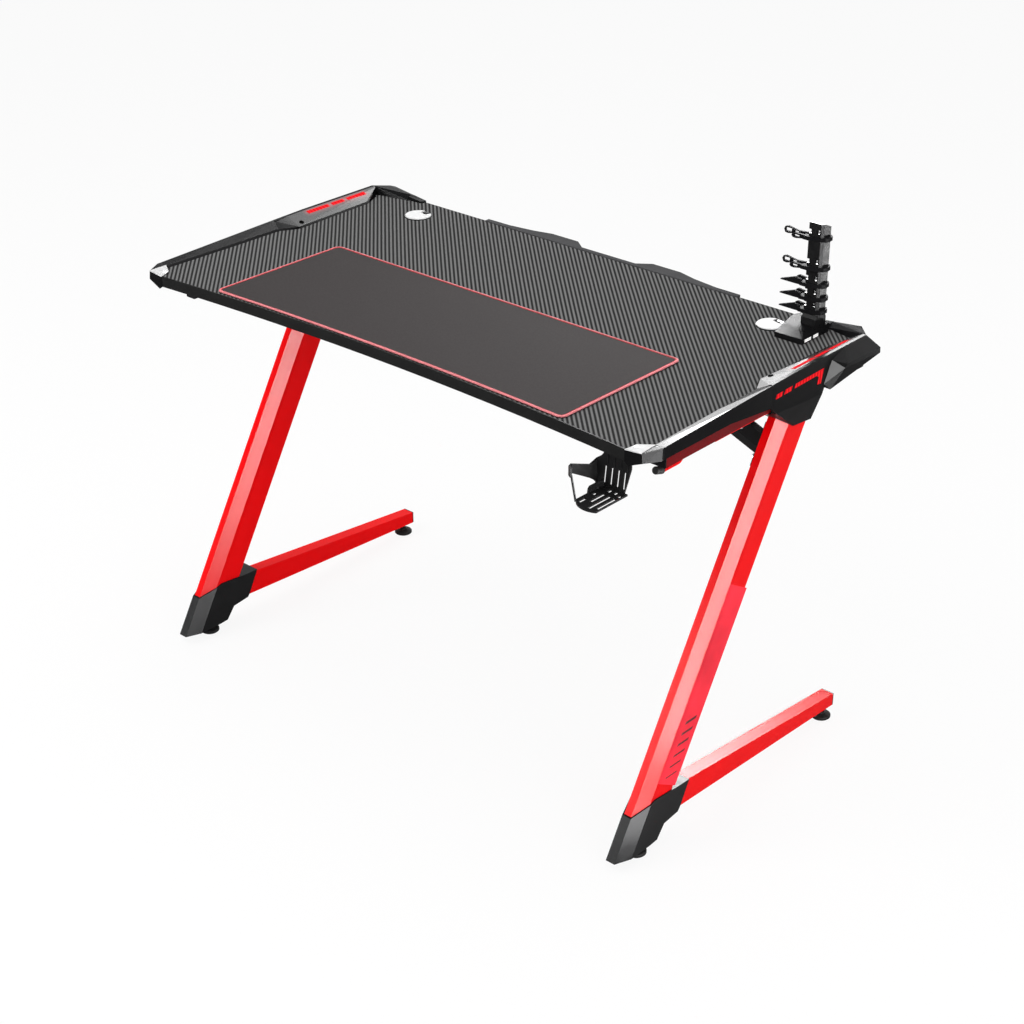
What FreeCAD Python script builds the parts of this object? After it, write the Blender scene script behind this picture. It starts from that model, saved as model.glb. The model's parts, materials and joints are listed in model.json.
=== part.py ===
import FreeCAD, Part
import itertools
import math
import os

# A gaming desk: a twill laminate board on two leaning steel legs, with plastic
# rails that carry light bars, a mouse pad, a cup holder, a headphone hook and a
# controller stand. Millimetres, +Z up, +X to the sitter's right, +Y to the rear.
# Shapes are drawn with Y = 0 midway between the front and rear feet, and moved
# by BOX_SHIFT_Y when saved, so the origin lies under the middle of the whole box.

V = FreeCAD.Vector

# ---- driving dimensions ----
BOX_SHIFT_Y = 31.0

# board
TOP_Z = 750.0
BOARD_THICK = 18.5
UNDER_Z = TOP_Z - BOARD_THICK
BOARD_HALF = 553.0
FRONT_HALF = 522.0          # half width of the curved front, between the corner caps
FRONT_END_Y = -319.5
FRONT_MID_Y = -296.5
REAR_Y = 278.0
EDGE_THICK = 2.0
EDGE_LIP = 1.0

# side rails
RAIL_OUT = 568.0
RAIL_FRONT_Y = -284.3
HOUSING_FRONT_Y = -13.0
HOUSING_REAR_Y = 248.0
FACE_WALL = 6.0             # thickness of the fascia on the outer face
FIN_OUT = 585.0

# legs
LEG_X = 530.3
LEAN_DEG = 30.04
POST_FOOT_Y = -344.3        # where the front plane of the post meets the floor
POST_FRONT_HALF = 7.1
POST_HALF = 18.4
POST_CHAMFER = 23.7
POST_DEPTH = 80.0
STEEL = 2.0
POST_BOTTOM_Z = 24.0
PLATE_Z = 702.5             # underside of the plate on top of the post
PLATE_THICK = 7.0
RAIL_STEEL_X = (524.0, 556.0)
RAIL_STEEL_Y = (-262.0, 230.0)
FOOT_HALF = 12.5
LEVELLER_Y = 269.5
LEVELLER_RADIUS = 18.0
THREAD_RADIUS = 4.0

# accessories
GROMMET_X = 407.5
GROMMET_Y = 211.0
GROMMET_HOLE = 21.5
PAD_LEFT, PAD_RIGHT, PAD_REAR = -396.8, 388.2, -8.5
PAD_THICK = 3.0
CUP_X, CUP_Y = 485.0, -328.0
CUP_RADIUS = 36.0           # curve of the cup holder's front edge
CUP_FLOOR_Z = 657.0
STAND_X, STAND_Y = 479.5, 226.5
STAND_TOP_Z = 943.5
TIER_Z = (792.5, 814.5, 838.0, 866.5, 917.0)

LEAN = math.radians(LEAN_DEG)
SIN, COS = math.sin(LEAN), math.cos(LEAN)


# ---- drawing helpers ----
def box(x, y, z):
    """A box from three (low, high) pairs."""
    return Part.makeBox(x[1] - x[0], y[1] - y[0], z[1] - z[0], V(x[0], y[0], z[0]))


def flat(points):
    """A flat face through the points."""
    corners = [V(*p) for p in points]
    return Part.Face(Part.makePolygon(corners + corners[:1]))


def prism_x(outline, x0, x1):
    """An outline of (y, z) points, drawn out along X."""
    return flat([(x0, y, z) for y, z in outline]).extrude(V(x1 - x0, 0, 0))


def prism_y(outline, y0, y1):
    """An outline of (x, z) points, drawn out along Y."""
    return flat([(x, y0, z) for x, z in outline]).extrude(V(0, y1 - y0, 0))


def prism_z(outline, z0, z1):
    """An outline of (x, y) points, drawn out along Z."""
    return flat([(x, y, z0) for x, y in outline]).extrude(V(0, 0, z1 - z0))


def rod(radius, start, end):
    """A round rod between two points."""
    start, end = V(*start), V(*end)
    return Part.makeCylinder(radius, (end - start).Length, start, end - start)


def joined(shapes):
    """One solid out of several that meet."""
    return shapes[0].multiFuse(shapes[1:]).removeSplitter()


def group(shapes):
    """Separate solids kept together in one node."""
    return Part.makeCompound(shapes)


def rim_order(rim, normal):
    """The corners of a flat convex face in order, leaving out points inside it or along its edges."""
    across = (rim[1] - rim[0]).normalize()
    up = normal.cross(across)
    spots = sorted((across.dot(p - rim[0]), up.dot(p - rim[0]), i) for i, p in enumerate(rim))
    halves = []
    for line in (spots, spots[::-1]):
        half = []
        for spot in line:
            while len(half) > 1:
                (ax, ay, _), (bx, by, _) = half[-2:]
                if (bx - ax) * (spot[1] - ay) - (by - ay) * (spot[0] - ax) > 1e-6:
                    break
                half.pop()
            half.append(spot)
        halves += half[:-1]
    return [rim[i] for _, _, i in halves]


def hull(points):
    """The convex solid around the points, with one flat face per plane."""
    near = 1e-4
    spots = [V(*p) for p in points]
    planes = []
    faces = []
    for a, b, c in itertools.combinations(spots, 3):
        normal = (b - a).cross(c - a)
        if normal.Length < near:
            continue
        normal.normalize()
        heights = [normal.dot(p - a) for p in spots]
        if max(heights) > near:
            if min(heights) < -near:
                continue
            normal = normal * -1
        level = normal.dot(a)
        if any((normal - n).Length < near and abs(level - d) < near for n, d in planes):
            continue
        planes.append((normal, level))
        rim = rim_order([p for p, h in zip(spots, heights) if abs(h) <= near], normal)
        faces.append(Part.Face(Part.makePolygon(rim + rim[:1])))
    shell = Part.makeShell(faces)
    shell.sewShape()
    solid = Part.makeSolid(shell)
    if solid.Volume < 0:
        solid.reverse()
    return solid


def mirror(shape):
    """The same shape on the other side of the desk."""
    return shape.mirror(V(0, 0, 0), V(1, 0, 0))


def both_sides(shape):
    """The right-hand shape and its mirror image, as (side, shape) pairs."""
    return (("right", shape), ("left", mirror(shape)))


def mirrored(points):
    """Points on the right, then their mirror images in reverse order."""
    return points + [(-x, y) for x, y in reversed(points)]


def arc_solid(left, middle, right, back_points, z0, z1):
    """A plate whose front edge is an arc through three (x, y) points."""
    spots = [V(x, y, z0) for x, y in (left, middle, right)]
    edges = [Part.Arc(*spots).toShape()]
    chain = [spots[2]] + [V(x, y, z0) for x, y in back_points] + [spots[0]]
    for a, b in zip(chain, chain[1:]):
        edges.append(Part.makeLine(a, b))
    return Part.Face(Part.Wire(edges)).extrude(V(0, 0, z1 - z0))


def save(name, shape):
    """Writes one node, moved so that the origin lies under the middle of the box."""
    placed = shape.copy()
    placed.translate(V(0, BOX_SHIFT_Y, 0))
    placed.exportStep("parts/" + name + ".step")


# ---- the leaning post ----
def post_point(x, depth, along):
    """A point of the post: x across, depth from its front plane, along its axis."""
    return V(LEG_X + x, POST_FOOT_Y + COS * depth + SIN * along, -SIN * depth + COS * along)


def post_outline(grow):
    """The eight-sided section of the post, grown outwards by a distance."""
    slant = math.atan2(POST_CHAMFER, POST_HALF - POST_FRONT_HALF)
    front = POST_FRONT_HALF + grow * math.tan(slant / 2)
    side = POST_HALF + grow
    front_corner = POST_CHAMFER - grow * math.tan((math.pi / 2 - slant) / 2)
    rear_bevel = 6.7
    right = [(front, -grow), (side, front_corner), (side, POST_DEPTH - rear_bevel),
             (side - rear_bevel, POST_DEPTH + grow)]
    return mirrored(right)


def post_prism(outline, start, end):
    """A section of the post drawn out along its axis."""
    corners = [post_point(x, d, start) for x, d in outline]
    face = Part.Face(Part.makePolygon(corners + corners[:1]))
    return face.extrude(V(0, SIN, COS) * (end - start))


def slab(z0, z1):
    """A level layer as wide as a leg needs."""
    return box((LEG_X - 60, LEG_X + 60), (-420, 320), (z0, z1))


def post_body():
    """The whole post as a solid, between its bottom and the plate on top."""
    return post_prism(post_outline(0), -40, 960).common(slab(POST_BOTTOM_Z, PLATE_Z))


def bolt_spots():
    """Where the top plate is bolted up to the steel rail, as (x, y)."""
    return [(540.0, y) for y in (-108.0, -58.0, -9.0)]


def stretcher_bolt_spots():
    """Where the stretcher's end plates are bolted, as (depth, along)."""
    return [(32.0, 713.0), (66.0, 748.0)]


def make_post():
    """A folded steel tube with a closed foot, and the bolting plate that is welded on its top."""
    tube = post_body().cut(post_prism(post_outline(-STEEL), -40, 960))
    sole = post_body().common(slab(POST_BOTTOM_Z, POST_BOTTOM_Z + 4))
    post = joined([tube, sole])
    for depth, along in stretcher_bolt_spots():
        spot = post_point(-POST_HALF, depth, along)
        post = post.cut(rod(3.3, (spot.x - 1, spot.y, spot.z), (spot.x + 4, spot.y, spot.z)))
    hole = rod(THREAD_RADIUS + 0.3, (LEG_X, -LEVELLER_Y, 20), (LEG_X, -LEVELLER_Y, 30))
    plate = box((LEG_X - POST_HALF, LEG_X + POST_HALF), (-130, 150), (PLATE_Z, PLATE_Z + PLATE_THICK))
    for x, y in bolt_spots():
        plate = plate.cut(rod(3.3, (x, y, PLATE_Z - 1), (x, y, PLATE_Z + PLATE_THICK + 1)))
    return group([post.cut(hole), plate])


# ---- the foot, its boot and the levellers ----
FOOT_TOP = ((-230.0, 96.8), (286.0, 44.8))
FOOT_BOTTOM = ((-230.0, 47.8), (286.0, 20.8))
FOOT_CAP_THICK = 3.0


def foot_outline(inset):
    """Side view of the foot beam, tapering to the rear."""
    (y0, top0), (y1, top1) = FOOT_TOP
    low0, low1 = FOOT_BOTTOM[0][1], FOOT_BOTTOM[1][1]
    return [(y0, low0 + inset), (y1, low1 + inset), (y1, top1 - inset), (y0, top0 - inset)]


def make_foot():
    """A tapered steel tube, welded to the back of the post."""
    outer = prism_x(foot_outline(0), LEG_X - FOOT_HALF, LEG_X + FOOT_HALF)
    inner = prism_x(foot_outline(STEEL), LEG_X - FOOT_HALF + STEEL, LEG_X + FOOT_HALF - STEEL)
    beam = outer.cut(inner).cut(post_prism(post_outline(0), -40, 400))
    hole = rod(THREAD_RADIUS + 0.3, (LEG_X, LEVELLER_Y, 15), (LEG_X, LEVELLER_Y, 30))
    return max(beam.cut(hole).Solids, key=lambda s: s.Volume)


def make_foot_cap():
    """A plastic cap with a plug that closes the rear end of the foot."""
    y, top = FOOT_TOP[1]
    low = FOOT_BOTTOM[1][1]
    x0, x1 = LEG_X - FOOT_HALF, LEG_X + FOOT_HALF
    cap = box((x0, x1), (y, y + FOOT_CAP_THICK), (low, top))
    rear_rim = [e for e in cap.Edges if e.CenterOfMass.y > y + FOOT_CAP_THICK - 0.1]
    cap = cap.makeFillet(1.2, rear_rim)
    wall = STEEL + 0.2
    plug = box((x0 + wall, x1 - wall), (y - 8, y), (low + wall + 0.5, top - wall))
    return joined([cap, plug])


def make_boot():
    """The moulded boot over the corner where the post meets the foot."""
    side = [(-338.0, 17.0), (-298.5, 85.2), (-248.5, 102.3), (-199.5, 98.2), (-157.5, 96.2),
            (-180.0, 53.0), (-185.5, 45.8), (-222.0, 41.5), (-240.0, 18.5), (-259.0, 17.0)]
    half = 20.6
    front_half, front_depth, side_depth = 9.0, -2.0, 23.5
    body = prism_x(side, LEG_X - half, LEG_X + half)
    section = mirrored([(front_half, front_depth), (half, side_depth), (half, 230.0)])
    body = body.common(post_prism(section, -160, 260))
    body = body.cut(post_prism(post_outline(0), -40, 400).common(slab(POST_BOTTOM_Z, 400)))
    body = body.cut(prism_x(foot_outline(0), LEG_X - FOOT_HALF, LEG_X + FOOT_HALF))
    hole = rod(9.0, (LEG_X, -LEVELLER_Y, 10), (LEG_X, -LEVELLER_Y, POST_BOTTOM_Z))
    return max(body.cut(hole).Solids, key=lambda s: s.Volume)


def make_leveller(y, stem_top):
    """A screw-in foot: a low domed pad, a hexagon to turn it by and a threaded stem."""
    r = LEVELLER_RADIUS
    profile = [(0, 0), (r - 1.2, 0), (r, 1.2), (r, 4.6), (r - 1.4, 6.0), (8.5, 7.4), (0, 7.4)]
    face = flat([(LEG_X + x, y, z) for x, z in profile])
    pad = face.revolve(V(LEG_X, y, 0), V(0, 0, 1), 360)
    six = [(LEG_X + 7 * math.cos(math.radians(60 * i)), y + 7 * math.sin(math.radians(60 * i)))
           for i in range(6)]
    nut = prism_z(six, 7.4, 11.4)
    stem = rod(THREAD_RADIUS, (LEG_X, y, 11.4), (LEG_X, y, stem_top))
    return joined([pad, nut, stem])


def make_thread_nut(y, z):
    """A weld nut that the leveller screws into."""
    six = [(LEG_X + 8 * math.cos(math.radians(60 * i)), y + 8 * math.sin(math.radians(60 * i)))
           for i in range(6)]
    bore = rod(THREAD_RADIUS + 0.05, (LEG_X, y, z - 1), (LEG_X, y, z + 8))
    return prism_z(six, z, z + 6.5).cut(bore)


# ---- steel under the board ----
def make_steel_rail():
    """The steel tube along each side, under the board."""
    x0, x1 = RAIL_STEEL_X
    z0 = PLATE_Z + PLATE_THICK
    tube = box((x0, x1), RAIL_STEEL_Y, (z0, UNDER_Z))
    bore = box((x0 + STEEL, x1 - STEEL), (RAIL_STEEL_Y[0] - 1, RAIL_STEEL_Y[1] + 1),
               (z0 + STEEL, UNDER_Z - STEEL))
    tube = tube.cut(bore)
    for x, y in bolt_spots():
        tube = tube.cut(rod(3.3, (x, y, z0 - 1), (x, y, z0 + STEEL + 1)))
    for y in hook_screw_ys():
        tube = tube.cut(rod(2.25, (HOOK_X, y, z0 - 1), (HOOK_X, y, z0 + STEEL + 1)))
    for x, y in board_screw_spots():
        tube = tube.cut(rod(6.0, (x, y, z0 - 1), (x, y, z0 + STEEL + 1)))
        tube = tube.cut(rod(2.3, (x, y, UNDER_Z - STEEL - 1), (x, y, UNDER_Z + 1)))
    return tube


def make_rail_plugs():
    """Plastic plugs in both ends of a steel rail."""
    x0, x1 = RAIL_STEEL_X
    z0 = PLATE_Z + PLATE_THICK
    plugs = []
    for y, out in ((RAIL_STEEL_Y[0], -1), (RAIL_STEEL_Y[1], 1)):
        face = sorted((y, y + 2.5 * out))
        stub = sorted((y, y - 9.0 * out))
        inset = STEEL + 0.1
        cap = box((x0, x1), face, (z0, UNDER_Z - 0.2))
        inner = box((x0 + inset, x1 - inset), stub, (z0 + inset, UNDER_Z - inset - 0.2))
        plugs.append(joined([cap, inner]))
    return plugs


def board_screw_spots():
    """Screws that hold the board to a steel rail, as (x, y)."""
    return [(540.0, y) for y in (-235.0, -165.0, 178.0, 212.0)]


def make_board_screw(x, y):
    """A pan-head screw inside the steel rail, driven up into the board."""
    seat = UNDER_Z - STEEL
    head = rod(4.5, (x, y, seat - 3), (x, y, seat))
    shank = rod(2.2, (x, y, seat), (x, y, UNDER_Z + 12))
    return joined([head, shank])


def make_frame_bolt(x, y):
    """A round-head bolt up through the post's plate, with its nut inside the rail."""
    top = PLATE_Z + PLATE_THICK + STEEL
    head = rod(6.0, (x, y, PLATE_Z - 3.5), (x, y, PLATE_Z))
    head = head.makeFillet(1.5, [e for e in head.Edges if e.BoundBox.ZMax < PLATE_Z - 3])
    shank = rod(3.0, (x, y, PLATE_Z), (x, y, top + 7))
    nut = rod(5.5, (x, y, top), (x, y, top + 5))
    return joined([head, shank, nut])


# ---- stretcher ----
STRETCH_HALF = 380.0
STRETCH_END = 508.0
STRETCH_Y = 62.0
STRETCH_HEIGHT = 41.6
STRETCH_MID_Z = 638.0
STRETCH_END_Z = 589.0


def stretcher_wire(x, z):
    """The folded section of the stretcher: a creased web with two short lips."""
    crease, lip, wall = 8.0, 15.0, 2.0
    top = STRETCH_HEIGHT
    points = [(lip, 0), (0, 0), (-crease, top / 2), (0, top), (lip, top),
              (lip, top - wall), (wall * 0.7, top - wall), (wall * 1.2 - crease, top / 2),
              (wall * 0.7, wall), (lip, wall)]
    corners = [V(x, STRETCH_Y + y, z + h) for y, h in points]
    return Part.makePolygon(corners + corners[:1])


def end_plate_outline():
    """Side view of the plate that bolts the stretcher to a post, as (y, z)."""
    corners = [(24.0, 697.0), (73.0, 697.0), (73.0, 772.0), (24.0, 772.0)]
    spots = [post_point(0, depth, along) for depth, along in corners]
    return [(p.y, p.z) for p in spots]


def make_stretcher():
    """The folded steel bar between the legs, with a plate welded on each end."""
    stations = [(-STRETCH_END, STRETCH_END_Z), (-STRETCH_HALF, STRETCH_MID_Z),
                (STRETCH_HALF, STRETCH_MID_Z), (STRETCH_END, STRETCH_END_Z)]
    spans = []
    for (x0, z0), (x1, z1) in zip(stations, stations[1:]):
        spans.append(Part.makeLoft([stretcher_wire(x0, z0), stretcher_wire(x1, z1)], True, True))
    plate = prism_x(end_plate_outline(), STRETCH_END, LEG_X - POST_HALF)
    for depth, along in stretcher_bolt_spots():
        spot = post_point(0, depth, along)
        plate = plate.cut(rod(3.3, (STRETCH_END - 1, spot.y, spot.z), (LEG_X, spot.y, spot.z)))
    plates = [shape for _, shape in both_sides(plate)]
    return joined(spans + plates)


def make_stretcher_bolts():
    """Bolts through the stretcher's end plates into the posts."""
    bolts = []
    for depth, along in stretcher_bolt_spots():
        spot = post_point(0, depth, along)
        seat = STRETCH_END
        inside = LEG_X - POST_HALF + STEEL
        head = rod(6.0, (seat - 3.5, spot.y, spot.z), (seat, spot.y, spot.z))
        shank = rod(3.0, (seat, spot.y, spot.z), (inside + 7, spot.y, spot.z))
        nut = rod(5.5, (inside, spot.y, spot.z), (inside + 5, spot.y, spot.z))
        bolts += [shape for _, shape in both_sides(joined([head, shank, nut]))]
    return group(bolts)


# ---- board and its edges ----
def front_y(x):
    """The front edge's y at a place across the desk."""
    sag = FRONT_MID_Y - FRONT_END_Y
    radius = (FRONT_HALF ** 2 + sag ** 2) / (2 * sag)
    return FRONT_MID_Y - radius + math.sqrt(radius ** 2 - x ** 2)


def front_plate(half, offset, back_points, z0, z1):
    """A plate whose front edge follows the desk's curve, set back by an offset."""
    side_y = front_y(half) + offset
    middle = (0, FRONT_MID_Y + offset)
    return arc_solid((-half, side_y), middle, (half, side_y), back_points, z0, z1)


def make_board():
    """The laminate board, with curved front, notched corners and grommet holes."""
    right = [(528.0, -298.0), (552.0, RAIL_FRONT_Y), (BOARD_HALF, RAIL_FRONT_Y),
             (BOARD_HALF, 252.0), (537.0, REAR_Y)]
    board = front_plate(FRONT_HALF, EDGE_THICK, mirrored(right), UNDER_Z, TOP_Z)
    for x in (-GROMMET_X, GROMMET_X):
        board = board.cut(rod(GROMMET_HOLE + 0.2, (x, GROMMET_Y, UNDER_Z - 1), (x, GROMMET_Y, TOP_Z + 1)))
    return board


def make_front_band():
    """The black edge band along the curved front."""
    inner = [(x, front_y(x) + EDGE_THICK) for x in (FRONT_HALF, 0, -FRONT_HALF)]
    outer = [(x, front_y(x)) for x in (-FRONT_HALF, 0, FRONT_HALF)]
    spots = [[V(x, y, UNDER_Z) for x, y in line] for line in (inner, outer)]
    edges = [Part.Arc(*spots[1]).toShape(), Part.makeLine(spots[1][2], spots[0][0]),
             Part.Arc(*spots[0]).toShape(), Part.makeLine(spots[0][2], spots[1][0])]
    return Part.Face(Part.Wire(edges)).extrude(V(0, 0, BOARD_THICK + EDGE_LIP))


def make_rear_strip():
    """The plastic strip on the rear edge, with two cable bulges."""
    bulge = [(62.0, 283.0), (87.0, 302.0), (149.0, 302.0), (187.0, 292.0), (240.0, 284.5)]
    outline = [(292.0, 273.5), (292.0, 284.0)] + bulge[::-1]
    strip = prism_z(mirrored(outline), UNDER_Z - 1.5, TOP_Z + 2)
    return strip.cut(box((-300, 300), (270, REAR_Y), (UNDER_Z - 3, TOP_Z)))


# ---- corner caps ----
def plate_points(drop):
    """Corners of the silver plate on the front corner, lowered by a distance."""
    corners = [(522.6, -320.0, 751.3), (554.0, -320.0, 754.6), (552.0, RAIL_FRONT_Y, 755.0),
               (528.3, -298.2, 753.0)]
    return [(x, y, z - drop) for x, y, z in corners]


def make_corner_plate():
    """The brushed plate on top of a front corner."""
    return hull(plate_points(0) + plate_points(1.6))


def make_corner_cap():
    """The moulded corner that closes the end of the front edge and the rail."""
    low = [(522.2, -320.0, UNDER_Z), (529.6, -320.0, 726.0), (556.0, -320.0, 738.0),
           (569.0, -290.0, 735.0), (568.0, RAIL_FRONT_Y, 735.0), (552.2, RAIL_FRONT_Y, UNDER_Z),
           (528.3, -298.2, UNDER_Z)]
    top = [(554.0, -320.0, 753.9), (569.0, -290.0, 754.9), (568.0, RAIL_FRONT_Y, 755.4)]
    cap = hull(plate_points(1.4) + top + low)
    return cap.cut(make_corner_plate())


# ---- side rails ----
RIDGE = ((RAIL_FRONT_Y, 755.4), (-150.0, 759.5), (HOUSING_FRONT_Y, 763.5), (60.0, 765.4),
         (HOUSING_REAR_Y, 766.0))
PANEL_FOOT = ((541.5, -22.0), (522.8, 14.0), (530.0, 198.0), (547.5, 238.0))
PANEL_BEVEL = 3.2            # height and run of the slanted wall around the panel
CREST_X = RAIL_OUT - 9.0     # inner edge of the level strip along the ridge
CREST_FALL = 1.6


def ridge_z(y):
    """Height of the outer ridge along the side of the desk."""
    for (y0, z0), (y1, z1) in zip(RIDGE, RIDGE[1:]):
        if y <= y1:
            break
    return z0 + (z1 - z0) * (y - y0) / (y1 - y0)


def rail_section(y, foot_x, low_z):
    """Corners of the slim front rail at one place along it."""
    return [(foot_x, y, TOP_Z + 0.1), (foot_x + 2.6, y, TOP_Z + 4.0), (RAIL_OUT, y, ridge_z(y)),
            (RAIL_OUT, y, low_z), (BOARD_HALF + 0.2, y, low_z)]


def board_block():
    """The space of the board near its side edges, for trimming covers that wrap it."""
    return box((300, BOARD_HALF + 0.15), (-400, REAR_Y + 0.15), (UNDER_Z - 0.1, TOP_Z + 0.08))


def panel_shape(inset):
    """The wide light panel beside the rear half of the board, shrunk by an inset."""
    face_x = RAIL_OUT - FACE_WALL + inset
    last = len(PANEL_FOOT) - 1
    points = []
    for k, (x, y) in enumerate(PANEL_FOOT):
        y += inset if k < 2 else -inset
        x += inset if 0 < k < last else 0
        run = PANEL_BEVEL * (1.0 if 0 < k < last else 0.8)
        points += [(x, y, TOP_Z + 0.1 - inset), (x + run, y, TOP_Z + 0.1 + PANEL_BEVEL - inset)]
    for y in (18.0, 60.0, HOUSING_REAR_Y - 0.1 - inset):
        points.append((CREST_X, y, ridge_z(y) - CREST_FALL - inset))
    for y in (HOUSING_FRONT_Y + 0.2 + inset, 18.0, 60.0, HOUSING_REAR_Y - 0.1 - inset):
        fall = CREST_FALL if y < 0 else 0.5
        points += [(face_x, y, ridge_z(y) - fall - inset), (face_x, y, 732.0)]
    return hull(points)


def make_side_rail():
    """The glossy top cover: a slim rail in front and a wide light panel behind it."""
    front = [rail_section(RAIL_FRONT_Y, 548.2, 735.0), rail_section(-120.0, 543.7, 735.0),
             rail_section(HOUSING_FRONT_Y, 542.4, 723.5)]
    spans = [hull(a + b) for a, b in zip(front, front[1:])]
    shell = panel_shape(0).cut(panel_shape(2.2))
    steel = box((500, RAIL_STEEL_X[1] + 0.15), (-300, 300), (PLATE_Z, UNDER_Z))
    rail = joined(spans + [shell]).cut(board_block()).cut(steel)
    rail = max(rail.Solids, key=lambda s: s.Volume)
    for window in inner_windows():
        rail = rail.cut(window)
    return rail.cut(button_well())


INNER_LIGHTS = ((62.0, 117.0), (125.0, 157.0), (165.0, 214.0))
INNER_LIGHT_X = (549.6, 557.6)
PANEL_RUN = 30.0             # the panel's inner slope, as a run and a rise
PANEL_RISE = 10.5
BUTTON_SPOT = (534.8, 28.5, 756.1)
BUTTON_RADIUS = 4.55


def inner_windows():
    """Openings for the light strips in the top of the panel."""
    return [box(INNER_LIGHT_X, span, (752.0, 768.0)) for span in INNER_LIGHTS]


def make_inner_lights():
    """Red diffusers in the top of the light panel, sloping with it."""
    x0, x1 = INNER_LIGHT_X[0] + 0.1, INNER_LIGHT_X[1] - 0.1
    top = 761.2
    outline = [(x0, 757.3), (x1, 757.3), (x1, top + (x1 - x0) * PANEL_RISE / PANEL_RUN), (x0, top)]
    return [prism_y(outline, y0 + 0.1, y1 - 0.1) for y0, y1 in INNER_LIGHTS]


def button_axis():
    """The outward normal of the panel's inner slope."""
    length = math.hypot(PANEL_RUN, PANEL_RISE)
    return V(-PANEL_RISE / length, 0, PANEL_RUN / length)


def button_well():
    """The round well that the push button slides in."""
    axis = button_axis()
    return Part.makeCylinder(BUTTON_RADIUS + 0.05, 12, V(*BUTTON_SPOT) - axis * 6, axis)


def make_button():
    """The push button that switches the lights."""
    axis = button_axis()
    return Part.makeCylinder(BUTTON_RADIUS, 3.2, V(*BUTTON_SPOT) - axis * 2.4, axis)


# ---- outer fascia with its fin and light bars ----
LIGHT_FACE = RAIL_OUT + 0.5
FASCIA_LOW_Z = 710.0
BAR_SHAPES = (
    [(-3.0, 736.0), (-0.8, 743.2), (16.0, 743.8), (13.0, 736.2)],
    [(19.5, 736.4), (23.0, 743.9), (41.5, 744.4), (38.5, 736.9)],
    [(47.5, 737.6), (51.0, 744.6), (128.5, 746.0), (122.0, 721.4), (112.5, 723.0), (115.5, 734.4),
     (109.0, 739.0)],
)


def bar_solids(grow, back):
    """The slanted light bars on the outer face, from a depth to just proud of it."""
    return [prism_x(outline, RAIL_OUT - back, LIGHT_FACE + grow) for outline in BAR_SHAPES]


def fascia_block():
    """The outer cover of the light housing, with the fin at its rear, before its bars are let in."""
    y0, y1 = HOUSING_FRONT_Y, HOUSING_REAR_Y
    inner_x = RAIL_OUT - FACE_WALL
    plate = []
    for x, fall in ((RAIL_OUT, 0.0), (inner_x, 0.5)):
        plate += [(x, y, ridge_z(y) - fall) for y in (y0, 60.0, y1)]
        plate += [(x, y0, 723.5), (x, 2.0, FASCIA_LOW_Z), (x, y1, FASCIA_LOW_Z)]
    plate = hull(plate)
    fin = hull([(RAIL_OUT, 151.0, 752.5), (RAIL_OUT, 186.0, ridge_z(186.0) - 0.1),
                (RAIL_OUT, y1, ridge_z(y1) - 0.1), (FIN_OUT, 268.0, 742.5), (FIN_OUT, 170.6, 744.4),
                (FIN_OUT, 165.0, 739.0), (FIN_OUT, 269.0, 733.0), (RAIL_OUT, 132.7, 716.7),
                (575.0, 141.0, 706.5), (575.0, 284.0, 724.0), (RAIL_OUT + 0.2, 284.0, 726.0),
                (inner_x, y1, ridge_z(y1) - 1.0), (inner_x, 141.0, 707.0), (inner_x, y1, 716.0),
                (inner_x, 132.7, 723.5)])
    fin = fin.cut(box((inner_x - 1, RAIL_OUT), (y1, 300), (690, 780)))
    return joined([plate, fin])


def make_fascia():
    """The outer cover with the recesses for its light bars."""
    body = fascia_block()
    for bar in bar_solids(1.0, 2.0):
        body = body.cut(bar)
    return body


def make_light_bars():
    """Red diffusers let into the outer face."""
    return bar_solids(0.0, 2.0)


def make_led_strips():
    """The circuit strips that light the bars: one under the top, one behind the face."""
    top = box((549.0, 556.5), (56.0, 220.0), (755.5, 757.1))
    side = box((RAIL_OUT - FACE_WALL - 2.0, RAIL_OUT - FACE_WALL - 0.4), (-4.0, 120.0), (734.0, 746.0))
    return [top, side]


# ---- rear corners and post covers ----
def make_rear_corner():
    """The raised cover around the rear corner of the board, with a low end block."""
    x = RAIL_OUT - 0.1
    y = HOUSING_REAR_Y + 0.1
    crest = hull([(x, y, ridge_z(y) - 0.1), (541.0, 271.0, 766.0), (485.0, 275.0, 758.0),
                  (549.0, y, TOP_Z + 0.1), (533.0, 256.0, TOP_Z + 0.1), (475.0, 264.0, TOP_Z + 0.1),
                  (x, y, 730.0), (x, 254.0, 730.0), (543.0, 283.0, 732.0), (485.0, 283.0, 740.0),
                  (485.0, 281.0, 756.0), (538.0, 282.0, 762.0)])
    block = hull([(486.0, 265.0, 757.8), (486.0, 280.0, 757.0), (486.0, 281.0, 742.0),
                  (452.0, 280.0, 742.0), (452.0, 268.0, TOP_Z + 0.1), (452.0, 279.5, 753.0),
                  (455.0, 267.0, 753.5), (486.0, 264.0, TOP_Z + 0.1)])
    return joined([crest, block]).cut(board_block())


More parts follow.
